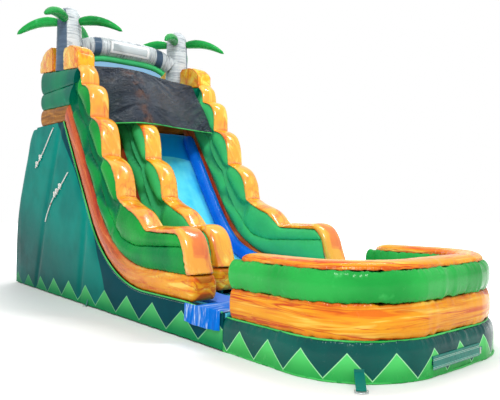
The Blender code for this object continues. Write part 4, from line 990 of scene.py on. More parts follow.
def fronds(finish):
    stations, widths, depths = zip(*FROND_STATIONS)
    share = np.append(np.linspace(0.0, 0.9, 46), np.linspace(0.9, 1.0, 12)[1:])[:, None]
    turns = circle(24)
    start = FROND_ROOT_RADIUS - 0.012
    run = FROND_LENGTH - start
    tip = np.sqrt(np.maximum(1 - np.maximum((share - 0.93) / 0.07, 0.0) ** 2, 0.0))
    wide, deep = (np.maximum(np.interp(share, stations, sizes) * tip, 0.003) for sizes in (widths, depths))
    tilt = np.arctan2(FROND_RISE - 2 * FROND_DROOP * share, run)
    out = start + run * share - deep * np.sin(turns) * np.sin(tilt)
    aside = wide * np.cos(turns)
    z = FROND_ROOT_HEIGHT + FROND_RISE * share - FROND_DROOP * share ** 2 + deep * np.sin(turns) * np.cos(tilt)
    from_seam = 0.1 * np.abs(np.sin(turns))
    along = run * share.ravel()
    for side, sign in SIDES:
        for number, angle in enumerate(np.radians(FROND_ANGLES), 1):
            cosine, sine = np.cos(angle), np.sin(angle)
            grid = sheet_grid(sign * TRUNK_X + out * cosine - aside * sine, TRUNK_Y + out * sine + aside * cosine, z)
            relief = gathers(along, from_seam, 0.006, 0.03, 90 + number, 0.028)
            relief = (relief - 0.006 * np.exp(-(from_seam / 0.008) ** 2)) * np.clip((1 - share) * 12, 0.0, 1.0)
            name = f"frond_{side}_{number}"
            dress(skin(name, grid, finish, np.exp(-from_seam / 0.012), relief, along=along), "light_green_vinyl", name)


def arch_line(x, below):
    """Centre of the arch at x, and the direction square to it in the front view."""
    ends, middle = ARCH_HEIGHTS
    share = x / TRUNK_X
    height = middle + (ends - middle) * share ** 4
    tilt = math.atan(4 * (ends - middle) * share ** 3 / TRUNK_X)
    return Vector((x + below * math.sin(tilt), TRUNK_Y, height - below * math.cos(tilt))), tilt


def arch_tube(name, radius, below, reach, finish, slot, seed):
    places = np.linspace(-reach, reach, 150)
    turns = circle(32)
    up = radius * np.sin(turns)
    grid = []
    for x in places:
        centre, tilt = arch_line(x, below)
        grid.append(np.transpose([centre.x - up * math.sin(tilt), centre.y + radius * np.cos(turns),
                                  centre.z + up * math.cos(tilt)]))
    side = np.abs(places)[:, None]
    off = np.min(np.abs(side - (0.66, 0.82)), axis=1)[:, None]
    relief = 0.010 * ripple(turns * radius, 0.03, seed) * np.exp((side - reach) / 0.09)
    relief = relief - 0.006 * np.exp(-(off / 0.012) ** 2)
    return dress(skin(name, grid, finish, np.exp(-off / 0.02), relief), slot, name)


def arch_sign(frame_finish, plate_finish):
    """A bare panel with a white frame, welded to the front of the arch."""
    for name, finish, lift, margin in (("sign_frame", frame_finish, 0.012, 0.0),
                                       ("sign_plate", plate_finish, 0.0145, 0.056)):
        radius = ARCH_RADIUS + lift
        inset = margin / ARCH_RADIUS
        turns = np.linspace(math.radians(-44.0) + inset, math.radians(30.0) - inset, 25)
        grid = []
        for x in np.linspace(margin - 0.46, 0.46 - margin, 47):
            centre = arch_line(x, 0.0)[0]
            grid.append([(centre.x, centre.y - radius * math.cos(turn), centre.z + radius * math.sin(turn))
                         for turn in turns])
        sheet_skin(name, grid, finish, (0.0, -1.0, 0.0), 0.002, "grey_marble_vinyl")


# The body


def panel_edge():
    """The side panels' upper edge, from front to rear, as (y, z)."""
    line = [(-3.049, 0.47), (-2.44, 0.47)]
    last = run_out_distance(SIDE_WALL_END)
    line += [tuple(seam_point("panel", distance)) for distance in np.linspace(last, 0.0, 200)]
    line += [(y, rail_height("panel", y)) for y in (RAIL_START, TOWER_REAR)]
    line += [tuple(point) for point in smooth_line(REAR_LINE, 12)[1:]]
    return [(y, z - GAP) for y, z in line]


PANEL_EDGE = np.transpose(panel_edge())
# Creases of the side panels, from the ground up as (z, y)
PANEL_CREASES = ([(0.08, 3.77), (1.40, 3.29), (2.64, 2.72), (3.6, 2.30)], [(0.06, 1.39), (1.03, 1.20), (2.6, 0.95)])


def panel_top(y):
    """Height of the side panel's upper edge."""
    return np.interp(y, *PANEL_EDGE)


def panel_bulge(y, z, top):
    """How far the side stands out between its creases, its upper seam and the ground."""
    off = np.min([np.abs(y - np.interp(z, *zip(*crease))) for crease in PANEL_CREASES], axis=0)
    pillow = 1 - 0.75 * np.exp(-(off / 0.10) ** 2)
    edge = np.clip((top - z) / 0.5, 0.0, 1.0)
    foot = np.minimum(z / 0.35, 1.0)
    end = np.clip((REAR_Y - y) / 0.4, 0.0, 1.0)
    return 0.036 * pillow * (1 - (1 - edge) ** 2.5) * (0.45 + 0.55 * foot) * (0.3 + 0.7 * end) - 0.006


def side_panels(finish):
    places = np.concatenate([np.arange(-3.049, -2.44, 0.05), np.arange(-2.44, REAR_Y, 0.03), [REAR_Y - 0.0005]])
    y = places[:, None]
    top = panel_top(y)
    z = PANEL_FOOT + (top - PANEL_FOOT) * (1 - np.cos(np.linspace(0.0, np.pi, 61))) / 2
    near = np.exp(-np.minimum(top - z, z - PANEL_FOOT) / 0.05)
    for side, sign in SIDES:
        grid = sheet_grid(sign * (HALF_WIDTH + panel_bulge(y, z, top)), y, z)
        folds = 0.007 * ripple(y, 0.16, 120 + sign) * near
        name = f"side_panel_{side}"
        sheet_skin(name, grid, finish, (sign, 0.0, 0.0), 0.03, "teal_vinyl", name, seam=near, relief=folds,
                   along=places)


def back_panel(finish):
    line = smooth_line(REAR_LINE, 12) + [Vector((REAR_Y, height)) for height in np.linspace(0.78, PANEL_FOOT, 28)]
    y, z = (np.array(values)[:, None] for values in zip(*line))
    x = np.linspace(0.035 - HALF_WIDTH, HALF_WIDTH - 0.035, 120)
    off = np.min(np.abs(x[:, None] - BACK_SEAMS), axis=1)
    relief = 0.03 * (1 - np.exp(-(off / 0.09) ** 2)) * np.minimum(z / 0.3, 1.0) * np.clip((3.5 - z) / 0.4, 0.0, 1.0)
    near = np.exp(-np.minimum(np.minimum(z, 3.52 - z), HALF_WIDTH - np.abs(x)) / 0.05)
    sheet_skin("back_panel", sheet_grid(x, y, z), finish, (0.0, 1.0, 0.3), 0.03, "teal_vinyl", "back_panel", seam=near,
               relief=relief)


def tube_along(name, points, radius, finish, slot):
    """A thin round welt that follows a line."""
    points = np.array(points, float)
    tangent = np.gradient(points, axis=0)
    tangent /= np.linalg.norm(tangent, axis=1, keepdims=True)
    side = np.cross(tangent, UP)
    side[np.linalg.norm(side, axis=1) < 1e-4] = (1.0, 0.0, 0.0)
    side /= np.linalg.norm(side, axis=1, keepdims=True)
    up = np.cross(side, tangent)
    turns = circle(8)[:, None]
    grid = points[:, None] + radius * (side[:, None] * np.cos(turns) + up[:, None] * np.sin(turns))
    return dress(skin(name, grid, finish), slot)


def line_normals(line):
    """Unit normals of a line in the (y, z) plane, out of the body."""
    along = [(after - before).normalized() for before, after in zip([line[0], *line], [*line[1:], line[-1]])]
    return [Vector((run.y, -run.x)) for run in along]


def padded_rings(upper, lower, places):
    """Rings of a padded lane: across `places` along its upper line and back along its lower one."""
    return [[(x, *high) for x in places] + [(x, *low) for x in places[::-1]] for high, low in zip(upper, lower)]


def slide_bed(finish):
    """The padded slide lane, with long welded channels."""
    line = smooth_line(BED_LINE, 16)
    under = [point - normal * BED_THICKNESS for point, normal in zip(line, line_normals(line))]
    places = np.linspace(MIDDLE_WALL[1] + GAP, INNER_X - GAP, 41)
    across = places - places[0]
    width = across[-1]
    edge = np.append(np.minimum(across, width - across), np.ones(len(places)))
    channels = 1 - np.abs(np.sin(3 * np.pi * across / width)) ** 0.5
    along = walked([tuple(point) for point in line])
    relief = gathers(along, edge, 0.005, 0.05, 130) - 0.010 * np.append(channels, np.zeros(len(places)))
    piece = skin("slide_bed", padded_rings(line, under, places), finish, np.exp(-edge / 0.02), relief, along=along)
    dress(piece, "blue_vinyl", "slide_bed")


def ladder_line():
    """The climbing lane's surface with its half-round foot rolls."""
    base = smooth_line(BED_LINE, 2)
    line = []
    gone = 0.0
    next_step = 0.45
    for start, end in zip(base, base[1:]):
        length = (end - start).length
        along = (end - start).normalized()
        normal = Vector((along.y, -along.x))
        steps = max(int(length / 0.04), 1)
        marks = [(step / steps * length, 0.0) for step in range(steps)]
        low_down = end.y <= 0.8
        while next_step + STEP_RADIUS < gone + length and next_step - STEP_RADIUS > gone and not low_down:
            at = next_step - gone
            marks = [mark for mark in marks if abs(mark[0] - at) > STEP_RADIUS + 0.004]
            marks += [(at + STEP_RADIUS * math.cos(angle), STEP_RADIUS * math.sin(angle))
                      for angle in np.radians(np.linspace(180.0, 0.0, 15))]
            next_step += STEP_SPACING
        if next_step - STEP_RADIUS <= gone + length < next_step + STEP_RADIUS or low_down:
            next_step = max(next_step, gone + length + STEP_RADIUS + 0.01)
        line += [start + along * place + normal * height for place, height in sorted(marks)]
        gone += length
    return line + [base[-1]]


def ladder_ramp(finish):
    upper = ladder_line()
    base = smooth_line(BED_LINE, 2)
    floor_line = [(-point.x, point.y - normal.y * BED_THICKNESS) for point, normal in zip(base, line_normals(base))]
    lower = [(point.x, min(looked_up(-point.x, floor_line), point.y - 0.02)) for point in upper]
    places = np.linspace(GAP - INNER_X, MIDDLE_WALL[0] - GAP, 25)
    edge = np.minimum(places - places[0], places[-1] - places) / (places[-1] - places[0])
    flat = np.zeros(len(places))
    relief = np.append(-0.012 * np.exp(-edge / 0.05), flat)
    near = np.append(np.exp(-edge / 0.04), flat)
    piece = skin("ladder_ramp", padded_rings(upper, lower, places), finish, near, relief)
    dress(piece, "brown_vinyl", "ladder_ramp")


def side_tubes(finish):
    line = smooth_line(BED_LINE, 16)
    rows = list(zip(line, line_normals(line)))[24:145]
    flat = SIDE_TUBE_RADIUS * math.cos(math.pi / 8)
    turns = circle(24)
    from_seam = 0.13 * np.abs(np.cos(turns))
    along = walked([tuple(point) for point, _ in rows])
    for side, x in (("left", MIDDLE_WALL[1] + flat + GAP), ("right", INNER_X - flat - GAP)):
        grid = []
        for index, (point, normal) in enumerate(rows):
            end = min(index, len(rows) - 1 - index) / 7
            radius = (SIDE_TUBE_RADIUS - 0.006) * math.sqrt(max(1 - max(1 - end, 0.0) ** 2, 0.03))
            centre = point + normal * (flat + GAP)
            up = radius * np.sin(turns)
            grid.append(np.transpose([x + radius * np.cos(turns), centre.x + normal.x * up, centre.y + normal.y * up]))
        relief = gathers(along, from_seam, 0.004, 0.05, 140 + len(side))
        name = f"slide_side_tube_{side}"
        dress(skin(name, grid, finish, np.exp(-from_seam / 0.02), relief, along=along), "blue_vinyl", name)


# The pool


def pool_rows():
    """Plan points round the pool with their outward directions, and metres from the front's middle."""
    points = [((-HALF_WIDTH, y), (-1.0, 0.0)) for y in np.arange(POOL_REAR, FRONT_Y + CORNER_Y, -POOL_STEP)]
    for turn in np.linspace(0.0, math.pi / 2, 130):
        cosine, sine = max(math.cos(turn), 0.0), math.sin(turn)
        x = CORNER_X - HALF_WIDTH - CORNER_X * cosine ** (2 / CORNER_POWER)
        y = FRONT_Y + CORNER_Y - CORNER_Y * sine ** (2 / CORNER_POWER)
        lean = 2 - 2 / CORNER_POWER
        outward = Vector((-cosine ** lean / CORNER_X, -sine ** lean / CORNER_Y)).normalized()
        points.append(((x, FRONT_FLAT), (0.0, -1.0)) if y < FRONT_FLAT else ((x, y), tuple(outward)))
    points += [((x, FRONT_FLAT), (0.0, -1.0)) for x in np.arange(CORNER_X - HALF_WIDTH + POOL_STEP, 0.0, POOL_STEP)]
    half = np.array(points)
    rows = np.concatenate([half, half[::-1] * (-1.0, 1.0)])
    rows = rows[np.append(True, np.linalg.norm(np.diff(rows[:, 0], axis=0), axis=1) > 0.002)]
    along = walked(rows[:, 0])
    return rows[:, 0], rows[:, 1], along - along[-1] / 2


POOL_PLACES, POOL_OUTWARD, POOL_ALONG = pool_rows()


def pool_line(inset, level):
    """Points round the pool at a level, drawn in from its plan."""
    return [(*place, level) for place in POOL_PLACES - POOL_OUTWARD * inset]


def rounded_ends(grid, z_low, start, length, flat_foot):
    """A pool tube's grid with rounded ends, `start` ahead of the pool's rear, and metres along it."""
    along = POOL_ALONG
    total = along[-1]
    low = -total + start + length * np.sin(np.linspace(0.0, np.pi / 2, 18)) ** 2
    inside = along[(along > low[-1] + 0.01) & (along < -low[-1] - 0.01)]
    wanted = np.concatenate([low, inside, -low[::-1]])
    reached = np.array([np.interp(wanted, along, column) for column in grid.reshape(len(grid), -1).T]).T
    grid = reached.reshape(len(wanted), *grid.shape[1:])
    grid[..., 1] += np.maximum(np.abs(wanted) - total, 0.0)[:, None]
    from_end = total - start - np.abs(wanted)
    size = np.maximum((1 - np.clip(1 - from_end / length, 0.0, 1.0) ** 2.2) ** 0.5, 0.2)[:, None]
    centre = grid.mean(axis=1, keepdims=True)
    shrunk = centre + (grid - centre) * size[..., None]
    if flat_foot:
        shrunk[..., 2] = z_low + (grid[..., 2] - z_low) * size
    return shrunk, wanted


def pool_tube(name, z_low, z_high, columns, finish, slot, seed, height, reach, end=()):
    """A tube round the pool from (inset, share of height, distance from a seam) columns."""
    inset, share, from_seam = np.array(columns).T
    places = POOL_PLACES[:, None] - POOL_OUTWARD[:, None] * inset[:, None]
    grid = np.dstack([places, np.broadcast_to(z_low + (z_high - z_low) * share, places.shape[:2])])
    along = POOL_ALONG
    if end:
        grid, along = rounded_ends(grid, z_low, *end, flat_foot=z_high == RIM_TOP)
    relief = gathers(along, from_seam, 1.35 * height, reach, seed, 0.075)
    relief += gathers(along, from_seam, 0.7 * height, 0.5 * reach, seed + 5, 0.030)
    return dress(skin(name, grid, finish, np.exp(-from_seam / 0.05), relief, along=along), slot, name)


def ring_columns(depth, low_inset, high_inset, inner_seam, inner_full, height):
    """Columns round a pool tube: outer face, top, inner face and bottom."""
    outside, inside = [], []
    for share in face_shares():
        seam_inset = low_inset + (high_inset - low_inset) * share
        full = bulge(share)
        near = min(share, 1 - share) * height
        outside.append((seam_inset + (depth - seam_inset) * full, share, near))
        inside.append((inner_seam + (inner_full - inner_seam) * full, share, near))
    top = [(high_inset + (inner_seam - high_inset) * part, 1.0, 0.2) for part in (0.3, 0.7)]
    foot = [(low_inset + (inner_seam - low_inset) * part, 0.0, 0.2) for part in (0.7, 0.3)]
    return outside + top + inside[::-1] + foot


def pool(finishes):
    base = ring_columns(-0.006, 0.004, 0.065, 0.50, 0.50, 0.38)
    lower = ring_columns(0.028, 0.095, 0.095, 0.44, 0.50, 0.37)
    upper = ring_columns(0.028, 0.095, 0.115, 0.44, 0.50, 0.34)
    rim = []
    for turn in np.linspace(0.0, np.pi, 17):
        across = math.cos(turn)
        inset = 0.275 - 0.165 * math.copysign(abs(across) ** 0.8, across)
        rim.append((inset, math.sin(turn) ** 0.8, 0.10 * math.sin(turn)))
    rim += [(0.33, 0.0, 0.2), (0.22, 0.0, 0.2)]
    flames = "yellow_orange_marble_vinyl"
    for name, low, high, columns, finish, slot, *folds in (
            ("base_ring", 0.004, BASE_TOP, base, "base", "dark_teal_vinyl", 200, 0.009, 0.07),
            ("lower_tube", BASE_TOP + GAP, LOWER_TUBE_TOP, lower, "pool_flame", flames, 210, 0.010, 0.075, (0.0, 0.12)),
            ("upper_tube", LOWER_TUBE_TOP + GAP, UPPER_TUBE_TOP, upper, "pool_green", "light_green_vinyl",
             220, 0.011, 0.08, (-0.05, 0.15)),
            ("rim_cap", UPPER_TUBE_TOP + GAP, RIM_TOP, rim, "rim", flames, 230, 0.007, 0.05, (0.10, 0.24))):
        pool_tube(f"pool_{name}", low, high, columns, finishes[finish], slot, *folds)
    foot_inset = 0.004 - 0.010 * ripple(POOL_ALONG, 0.16, 240)[:, None]
    for name, inset, level, radius in (("base", 0.062, BASE_TOP + 0.003, 0.012), ("foot", foot_inset, 0.012, 0.010)):
        tube_along(f"pool_{name}_welt", pool_line(inset, level), radius, finishes["mint"], "light_green_vinyl")
    floor(finishes["cyan"])


def floor(finish):
    """The pool's quilted floor, the landing behind it and the cloths before the feet of the walls."""
    inside = POOL_PLACES - POOL_OUTWARD * 0.499
    edge, y = np.hsplit(inside[:len(inside) // 2:4], 2)
    x = edge * np.linspace(1.0, -1.0, 61)
    quilt = np.abs(np.sin(np.pi * x / 0.54)) ** 0.5
    lift = np.abs(np.sin(np.pi * (y - POOL_REAR) / 0.6)) ** 0.5
    grid = sheet_grid(x, np.minimum(y, POOL_REAR - GAP), POOL_FLOOR_HEIGHT + 0.016 * quilt * (0.4 + 0.6 * lift))
    near = 1 - np.minimum(quilt * 3, 1.0)
    sheet_skin("pool_floor", grid, finish, UP, 0.03, "cyan_vinyl", "pool_floor", seam=near)
    x = np.linspace(-1.538, 1.538, 120)
    y = np.linspace(POOL_REAR + 0.005, LANDING_REAR, 34)[:, None]
    channel = np.abs(np.sin(np.pi * x / 0.385))
    height = LANDING_HEIGHT + 0.013 * channel ** 0.5 * np.minimum((y - POOL_REAR) / 0.08, 1.0)
    grid = sheet_grid(x, np.vstack([y[:1], y]), np.vstack([np.full(len(x), POOL_FLOOR_HEIGHT + 0.004), height]))
    sheet_skin("landing_pad", grid, finish, UP, 0.03, "cyan_vinyl", "landing_pad", seam=np.exp(-5 * channel))
    for name, span, rear in (("left", (-1.572, -INNER_X), -1.80), ("middle", MIDDLE_WALL, -1.50),
                             ("right", (INNER_X, 1.572), -1.80)):
        grid = sheet_grid(np.linspace(*span, 12), np.linspace(LANDING_REAR + 0.003, rear, 16)[:, None], 0.425)
        sheet_skin(f"foot_cloth_{name}", grid, finish, UP, 0.012, "cyan_vinyl")


# Cloth and cords


def canopy_point(share, x):
    """Point (y, z) of the mesh cover at `share` down from its top edge, and x across it."""
    crown = 0.24 * (1 - share) ** 1.5 * max(1 - abs(x + 0.25) / 0.9, 0.0)
    lift = looked_up(x - crown, CANOPY_COLUMNS)
    lift = 0.25 * lift * lift * (3 - 2 * lift) + 0.75 * lift
    edge = CANOPY_LEFT if x < sum(MIDDLE_WALL) / 2 else CANOPY_RIGHT
    rows = np.linspace(0.0, 1.0, len(CANOPY_RIDGE))
    side, ridge = (np.array([np.interp(share, rows, values) for values in zip(*line)]) for line in (edge, CANOPY_RIDGE))
    return side + (ridge - side) * lift


# Corners and ends that the mesh cover's folds fan out from: x, share down, seed, height, spacing
CANOPY_FANS = [(-0.25, 0.02, 301, 0.040, 0.10), (-0.50, 0.85, 302, 0.030, 0.12),
               (1.15, 0.0, 303, 0.030, 0.09), (-1.15, 0.0, 304, 0.034, 0.09)]


def canopy(finish, hem_finish):
    places = np.linspace(-CANOPY_HALF, CANOPY_HALF, 150)
    shares = np.linspace(0.0, 1.0, 96)
    grid = np.array([[(x, *canopy_point(share, x)) for x in places] for share in shares])
    for _ in range(10):
        grid[1:-1, 1:-1] = (grid[:-2, 1:-1] + grid[2:, 1:-1] + grid[1:-1, :-2] + grid[1:-1, 2:]) / 4
    across, down = np.meshgrid(places, shares)
    relief = np.zeros_like(across)
    for x, share, seed, size, spacing in CANOPY_FANS:
        run, fall = across - x, (down - share) * 1.5
        fold = ripple(np.arctan2(fall, run) + 4.0, spacing, seed)
        relief += size * fold * np.exp(-((np.hypot(fall, run) - 0.45) / 0.45) ** 2)
    from_ridge = np.abs(across + 0.30)
    taut = ripple(down * 1.5 + 0.9 * from_ridge, 0.055, 311) * from_ridge * (0.3 + down)
    relief += 0.026 * taut * (0.6 + 0.4 * ripple(across + 2.0, 0.25, 312))
    relief *= np.clip(np.minimum((CANOPY_HALF - np.abs(across)) / 0.15, down / 0.1), 0.0, 1.0)
    piece = sheet_skin("canopy", grid, finish, (0.0, -1.0, 1.0), 0.003, "black_mesh", "canopy", relief=relief)
    hem = tube_along("canopy_hem", grid[-1] + (0.0, -0.002, 0.0), 0.011, hem_finish, "light_green_vinyl")


def rear_screen(finish):
    """A pale blue shade cloth from the back of the arch down to the tower's rear rail."""
    end = Vector((TOWER_REAR - 0.25, rail_height("upper", TOWER_REAR - 0.25, 0.004)))
    grid = []
    for share in np.linspace(0.0, 1.0, 24):
        row = []
        for part in np.linspace(-1.0, 1.0, 90):
            x = part * (1.0 + 0.14 * share)
            y, z = Vector((TRUNK_Y + 0.13, arch_line(x, 0.0)[0].z - 0.17)).lerp(end, share)
            row.append((x, y, z - 0.05 * math.sin(math.pi * share) * (1 - part ** 4)))
        grid.append(row)
    piece = sheet_skin("rear_screen", grid, finish, (0.0, 0.5, 1.0), 0.003, "cyan_vinyl")


def rope_line(route):
    """Points of a tether, laid on the side panel."""
    points = []
    for y, z in smooth_line(route, 60):
        lift = max(panel_bulge(y, z, panel_top(y)), 0.0) + ROPE_RADIUS + 0.003
        point = Vector((-HALF_WIDTH - lift, y, z))
        if not points or (point - points[-1]).length >= ROPE_SPACING / 2:
            points.append(point)
    return points


def path_curve(name, paths):
    data = bpy.data.curves.new(name, "CURVE")
    data.dimensions = "3D"
    for path in paths:
        spline = data.splines.new("POLY")
        spline.points.add(len(path) - 1)
        for place, point in zip(spline.points, path):
            place.co = (*point, 1.0)
    return data


def rope(name, route, finish, knot_places, seed):
    """A tether with its knots, along the side panel."""
    points = rope_line(route)
    data = path_curve(name, [points])
    data.bevel_depth = ROPE_RADIUS
    data.bevel_resolution = 3
    data.use_fill_caps = True
    piece = dress(link(name, data, finish), "white_rope", name)
    draw = np.random.default_rng(seed)
    for number, share in enumerate(knot_places, 1):
        at = points[int(share * (len(points) - 1))]
        turn = np.linspace(0.0, 2 * np.pi * 2.6, 70)
        loop = np.transpose([at.x - 0.010 - 0.014 * np.sin(turn * 1.5),
                             at.y + (0.034 + draw.uniform(-0.002, 0.002, len(turn))) * np.cos(turn),
                             at.z + 0.040 * np.sin(turn) + 0.014 * np.sin(turn * 0.5)])
        tube_along(f"{name}_knot_{number}", loop, 0.012, finish, "white_rope")


def rope_finish():
    finish = Finish("tether_rope", {"Roughness": 0.8, "Specular IOR Level": 0.3})
    place = finish.object_point()
    twist = finish.wave(place, "DIAGONAL", Scale=36.0, Distortion=1.5, Detail=2.0)
    worn = finish.patches(place, 12.0, 4.0, 0.56, 0.68)
    colour = finish.mix(worn, srgb(255, 253, 248), srgb(190, 110, 96))
    # Painted shade: the twist's grooves are darkened towards grey.
    finish.feed("Base Color", finish.mix(0.18 * twist, colour, srgb(120, 112, 104)))
    finish.bump(twist, 0.002, 0.8)
    return finish


def mesh_finish():
    """Dark knitted shade cloth with a dull sheen, lighter patches and a rust-brown streak."""
    finish = Finish("shade_mesh", {"Sheen Weight": 0.03, "IOR": 1.36, "Specular IOR Level": 0.95})
    place = finish.object_point()
    cloud = finish.noise(place, 2.2, 5.0, 0.6)
    colour = finish.ramp(cloud, [(0.3, srgb(34, 46, 62)), (0.5, srgb(52, 66, 84)), (0.64, srgb(74, 84, 96)),
                                 (0.75, srgb(96, 92, 90))])
    run = abs(finish.part(place, "X") + 0.56)
    streak = (1 - finish.step(run, 0.01, 0.20)) * finish.patches(place, 5.0, 4.0, 0.40, 0.60)
    colour = finish.mix(0.8 * streak, colour, srgb(122, 84, 66))
    knit = finish.wave(place, "X", Scale=60.0, Distortion=0.6)
    finish.feed("Base Color", finish.mix(0.15 * knit, colour, srgb(30, 32, 36)))
    finish.feed("Roughness", 0.16 + 0.18 * cloud)
    crumple = finish.noise(finish.scaled(place, 3.0, 3.0, 9.0), 2.4, 6.0, 0.6, 0.8)
    finish.bump(crumple + 0.03 * knit, 0.11)
    return finish


def steel_finish():
    finish = Finish("plated_steel", {"Metallic": 1.0})
    spots = finish.noise(finish.object_point(), 120.0, 4.0)
    finish.feed("Base Color", finish.mix(finish.step(spots, 0.5, 0.75), srgb(196, 198, 200), srgb(150, 148, 144)))
    finish.feed("Roughness", 0.22 + 0.25 * spots)
    finish.bump(spots, 0.0004, 0.4)
    return finish


def thread_finish():
    finish = Finish("seam_thread", {"Roughness": 0.6})
    faded = finish.noise(finish.object_point(), 60.0, 2.0)
    finish.feed("Base Color", finish.mix(faded, srgb(214, 220, 206), srgb(170, 186, 168)))
    return finish


def repaint(finish, slot, *nodes):
    """Gives CAD nodes that keep their shape a better finish."""
    for node in nodes:
        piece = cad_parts[node]
        for material_slot in piece.material_slots:
            material_slot.material = finish.material


def entry_mat(finish):
    """The step-on pad with its soft rolled edge, and the flap that hangs outside."""
    x = np.linspace(-1.5935, -0.95, 64)
    y = np.linspace(-3.02, -2.45, 58)[:, None]
    edge = np.minimum(np.minimum(x - x[0], x[-1] - x), np.minimum(y - y[0], y[-1] - y))
    near = np.exp(-edge / 0.02)
    relief = ripple(np.linspace(0.0, 0.57, 58), 0.05, 401)[:, None] * ripple(np.linspace(0.0, 0.64, 64), 0.22, 402)
    grid = sheet_grid(x, y, 0.4705 + 0.024 * (1 - np.exp(-edge / 0.012)))
    pad = sheet_skin("entry_mat_pad", grid, finish, UP, 0.004, "blue_vinyl", "entry_mat_pad", seam=near,
                     relief=0.006 * relief * (1 - near))
    y = np.linspace(-3.02, -2.22, 90)
    share = np.linspace(0.0, 1.0, 34)[:, None]
    rolled = share < 0.06
    roll = share / 0.06 * np.pi / 2
    drop = np.maximum(share - 0.06, 0.0)
    x = np.where(rolled, -1.607 + 0.006 * np.cos(roll), -1.6075) - drop * (0.016 + 0.012 * ripple(y, 0.09, 403))
    z = np.where(rolled, 0.486 + 0.0072 * np.cos(roll), 0.486 - 0.242 * drop / 0.94)
    z = z + drop * (0.010 - 0.018 * np.cos((y + 2.62) / 0.4 * np.pi / 2))
    flap = sheet_skin("entry_mat_flap", sheet_grid(x, y, z), finish, (-1.0, 0.0, 0.2), 0.003, "blue_vinyl",
                      "entry_mat_flap", body="mat_flap")


# Repeated small things

ROW_NODES = {"start": "NodeGroupInput", "end": "NodeGroupOutput", "line": "GeometryNodeResampleCurve",
             "bar": "GeometryNodeMeshCylinder", "tangent": "GeometryNodeInputTangent",
             "align": "FunctionNodeAlignRotationToVector", "place": "GeometryNodeInstanceOnPoints",
             "real": "GeometryNodeRealizeInstances", "paint": "GeometryNodeSetMaterial"}
ROW_LINKS = [("start", "Geometry", "line", "Curve"), ("start", "Spacing", "line", "Length"),
             ("start", "Length", "bar", "Depth"), ("start", "Thickness", "bar", "Radius"),
             ("line", "Curve", "place", "Points"), ("bar", "Mesh", "place", "Instance"),
             ("tangent", "Tangent", "align", "Vector"), ("align", "Rotation", "place", "Rotation"),
             ("place", "Instances", "real", "Geometry"), ("real", "Geometry", "paint", "Geometry"),
             ("paint", "Geometry", "end", "Geometry")]


def row_tree(name, material):
    """Geometry nodes that lay one small bar after another along a line."""
    tree = bpy.data.node_groups.new(name, "GeometryNodeTree")
    for label in ("Geometry", "Spacing", "Length", "Thickness"):
        kind = "NodeSocketGeometry" if label == "Geometry" else "NodeSocketFloat"
        tree.interface.new_socket(label, in_out="INPUT", socket_type=kind)
    tree.interface.new_socket("Geometry", in_out="OUTPUT", socket_type="NodeSocketGeometry")
    nodes = {key: tree.nodes.new(kind) for key, kind in ROW_NODES.items()}
    nodes["line"].mode = "LENGTH"
    nodes["bar"].inputs["Vertices"].default_value = 6
    nodes["align"].axis = "Z"
    nodes["paint"].inputs["Material"].default_value = material
    for source, output, target, entry in ROW_LINKS:
        tree.links.new(nodes[source].outputs[output], nodes[target].inputs[entry])
    return tree


def bar_row(name, paths, spacing, length, thickness, finish, slot, body="slide"):
    """Bars along each path, made a plain mesh."""
    source = place_object(f"{name}_path", path_curve(name, paths))
    modifier = source.modifiers.new("row", "NODES")
    modifier.node_group = row_tree(f"{name}_row", finish.material)
    values = {"Spacing": spacing, "Length": length, "Thickness": thickness}
    for item in modifier.node_group.interface.items_tree:
        if item.name in values:
            modifier[item.identifier] = values[item.name]
    bpy.context.view_layer.update()
    mesh = bpy.data.meshes.new_from_object(source.evaluated_get(bpy.context.evaluated_depsgraph_get()))
    bpy.data.objects.remove(source, do_unlink=True)
    mesh.name = name
    if not mesh.materials:
        mesh.materials.append(finish.material)
    return dress(place_object(name, mesh), slot, body=body)


def panel_seam(sign, count, shift, outset):
    """Points along a side panel's upper seam, from the tower down to the wall's end."""
    places = np.linspace(0.0, run_out_distance(SIDE_WALL_END), count)
    return [(sign * (HALF_WIDTH + outset), *seam_point("panel", distance, shift)) for distance in places]


def stitching(finish):
    """Rows of stitches beside the long seams."""
    paths = [pool_line(0.046 + 0.4 * drop, BASE_TOP - drop) for drop in (0.026, 0.036)]
    paths += [panel_seam(sign, 160, -0.03, 0.003) for sign in (-1, 1)]
    bar_row("seam_stitches", paths, 0.016, 0.010, 0.0014, finish, "white_rope")


def seam_welts(finish):
    """Light green piping where the side panels meet the walls."""
    for side, sign in SIDES:
        line = panel_seam(sign, 260, 0.0, -0.004)
        line += [(line[0][0], y, 0.474) for y in np.linspace(-2.46, -3.03, 20)]
        tube_along(f"panel_welt_{side}", line, 0.013, finish, "light_green_vinyl")


def zip_parts(finishes, steel):
    """The zip's teeth, the seams on its cover, and the track and cover as they are."""
    repaint(finishes["teal"], "dark_teal_vinyl", "zip_track")
    repaint(vinyl("zip_teal", zip_paint, ior=1.3), "teal_vinyl", "zip_cover")
    repaint(steel, "plated_steel", "zip_slider")
    teeth = [(x, FRONT_FLAT - 0.0078, 0.155) for x in np.linspace(-0.53, 0.455, 60)]
    bar_row("zip_teeth", [teeth], 0.007, 0.004, 0.003, steel, "plated_steel")
    rows = [[(x, -5.2845, level) for x in np.linspace(-0.53, 0.365, 40)] for level in (0.20, 0.186, 0.104, 0.094)]
    bar_row("zip_cover_stitches", rows, 0.014, 0.009, 0.0014, thread_finish(), "white_rope", body="zip_flap")


# Floor and light


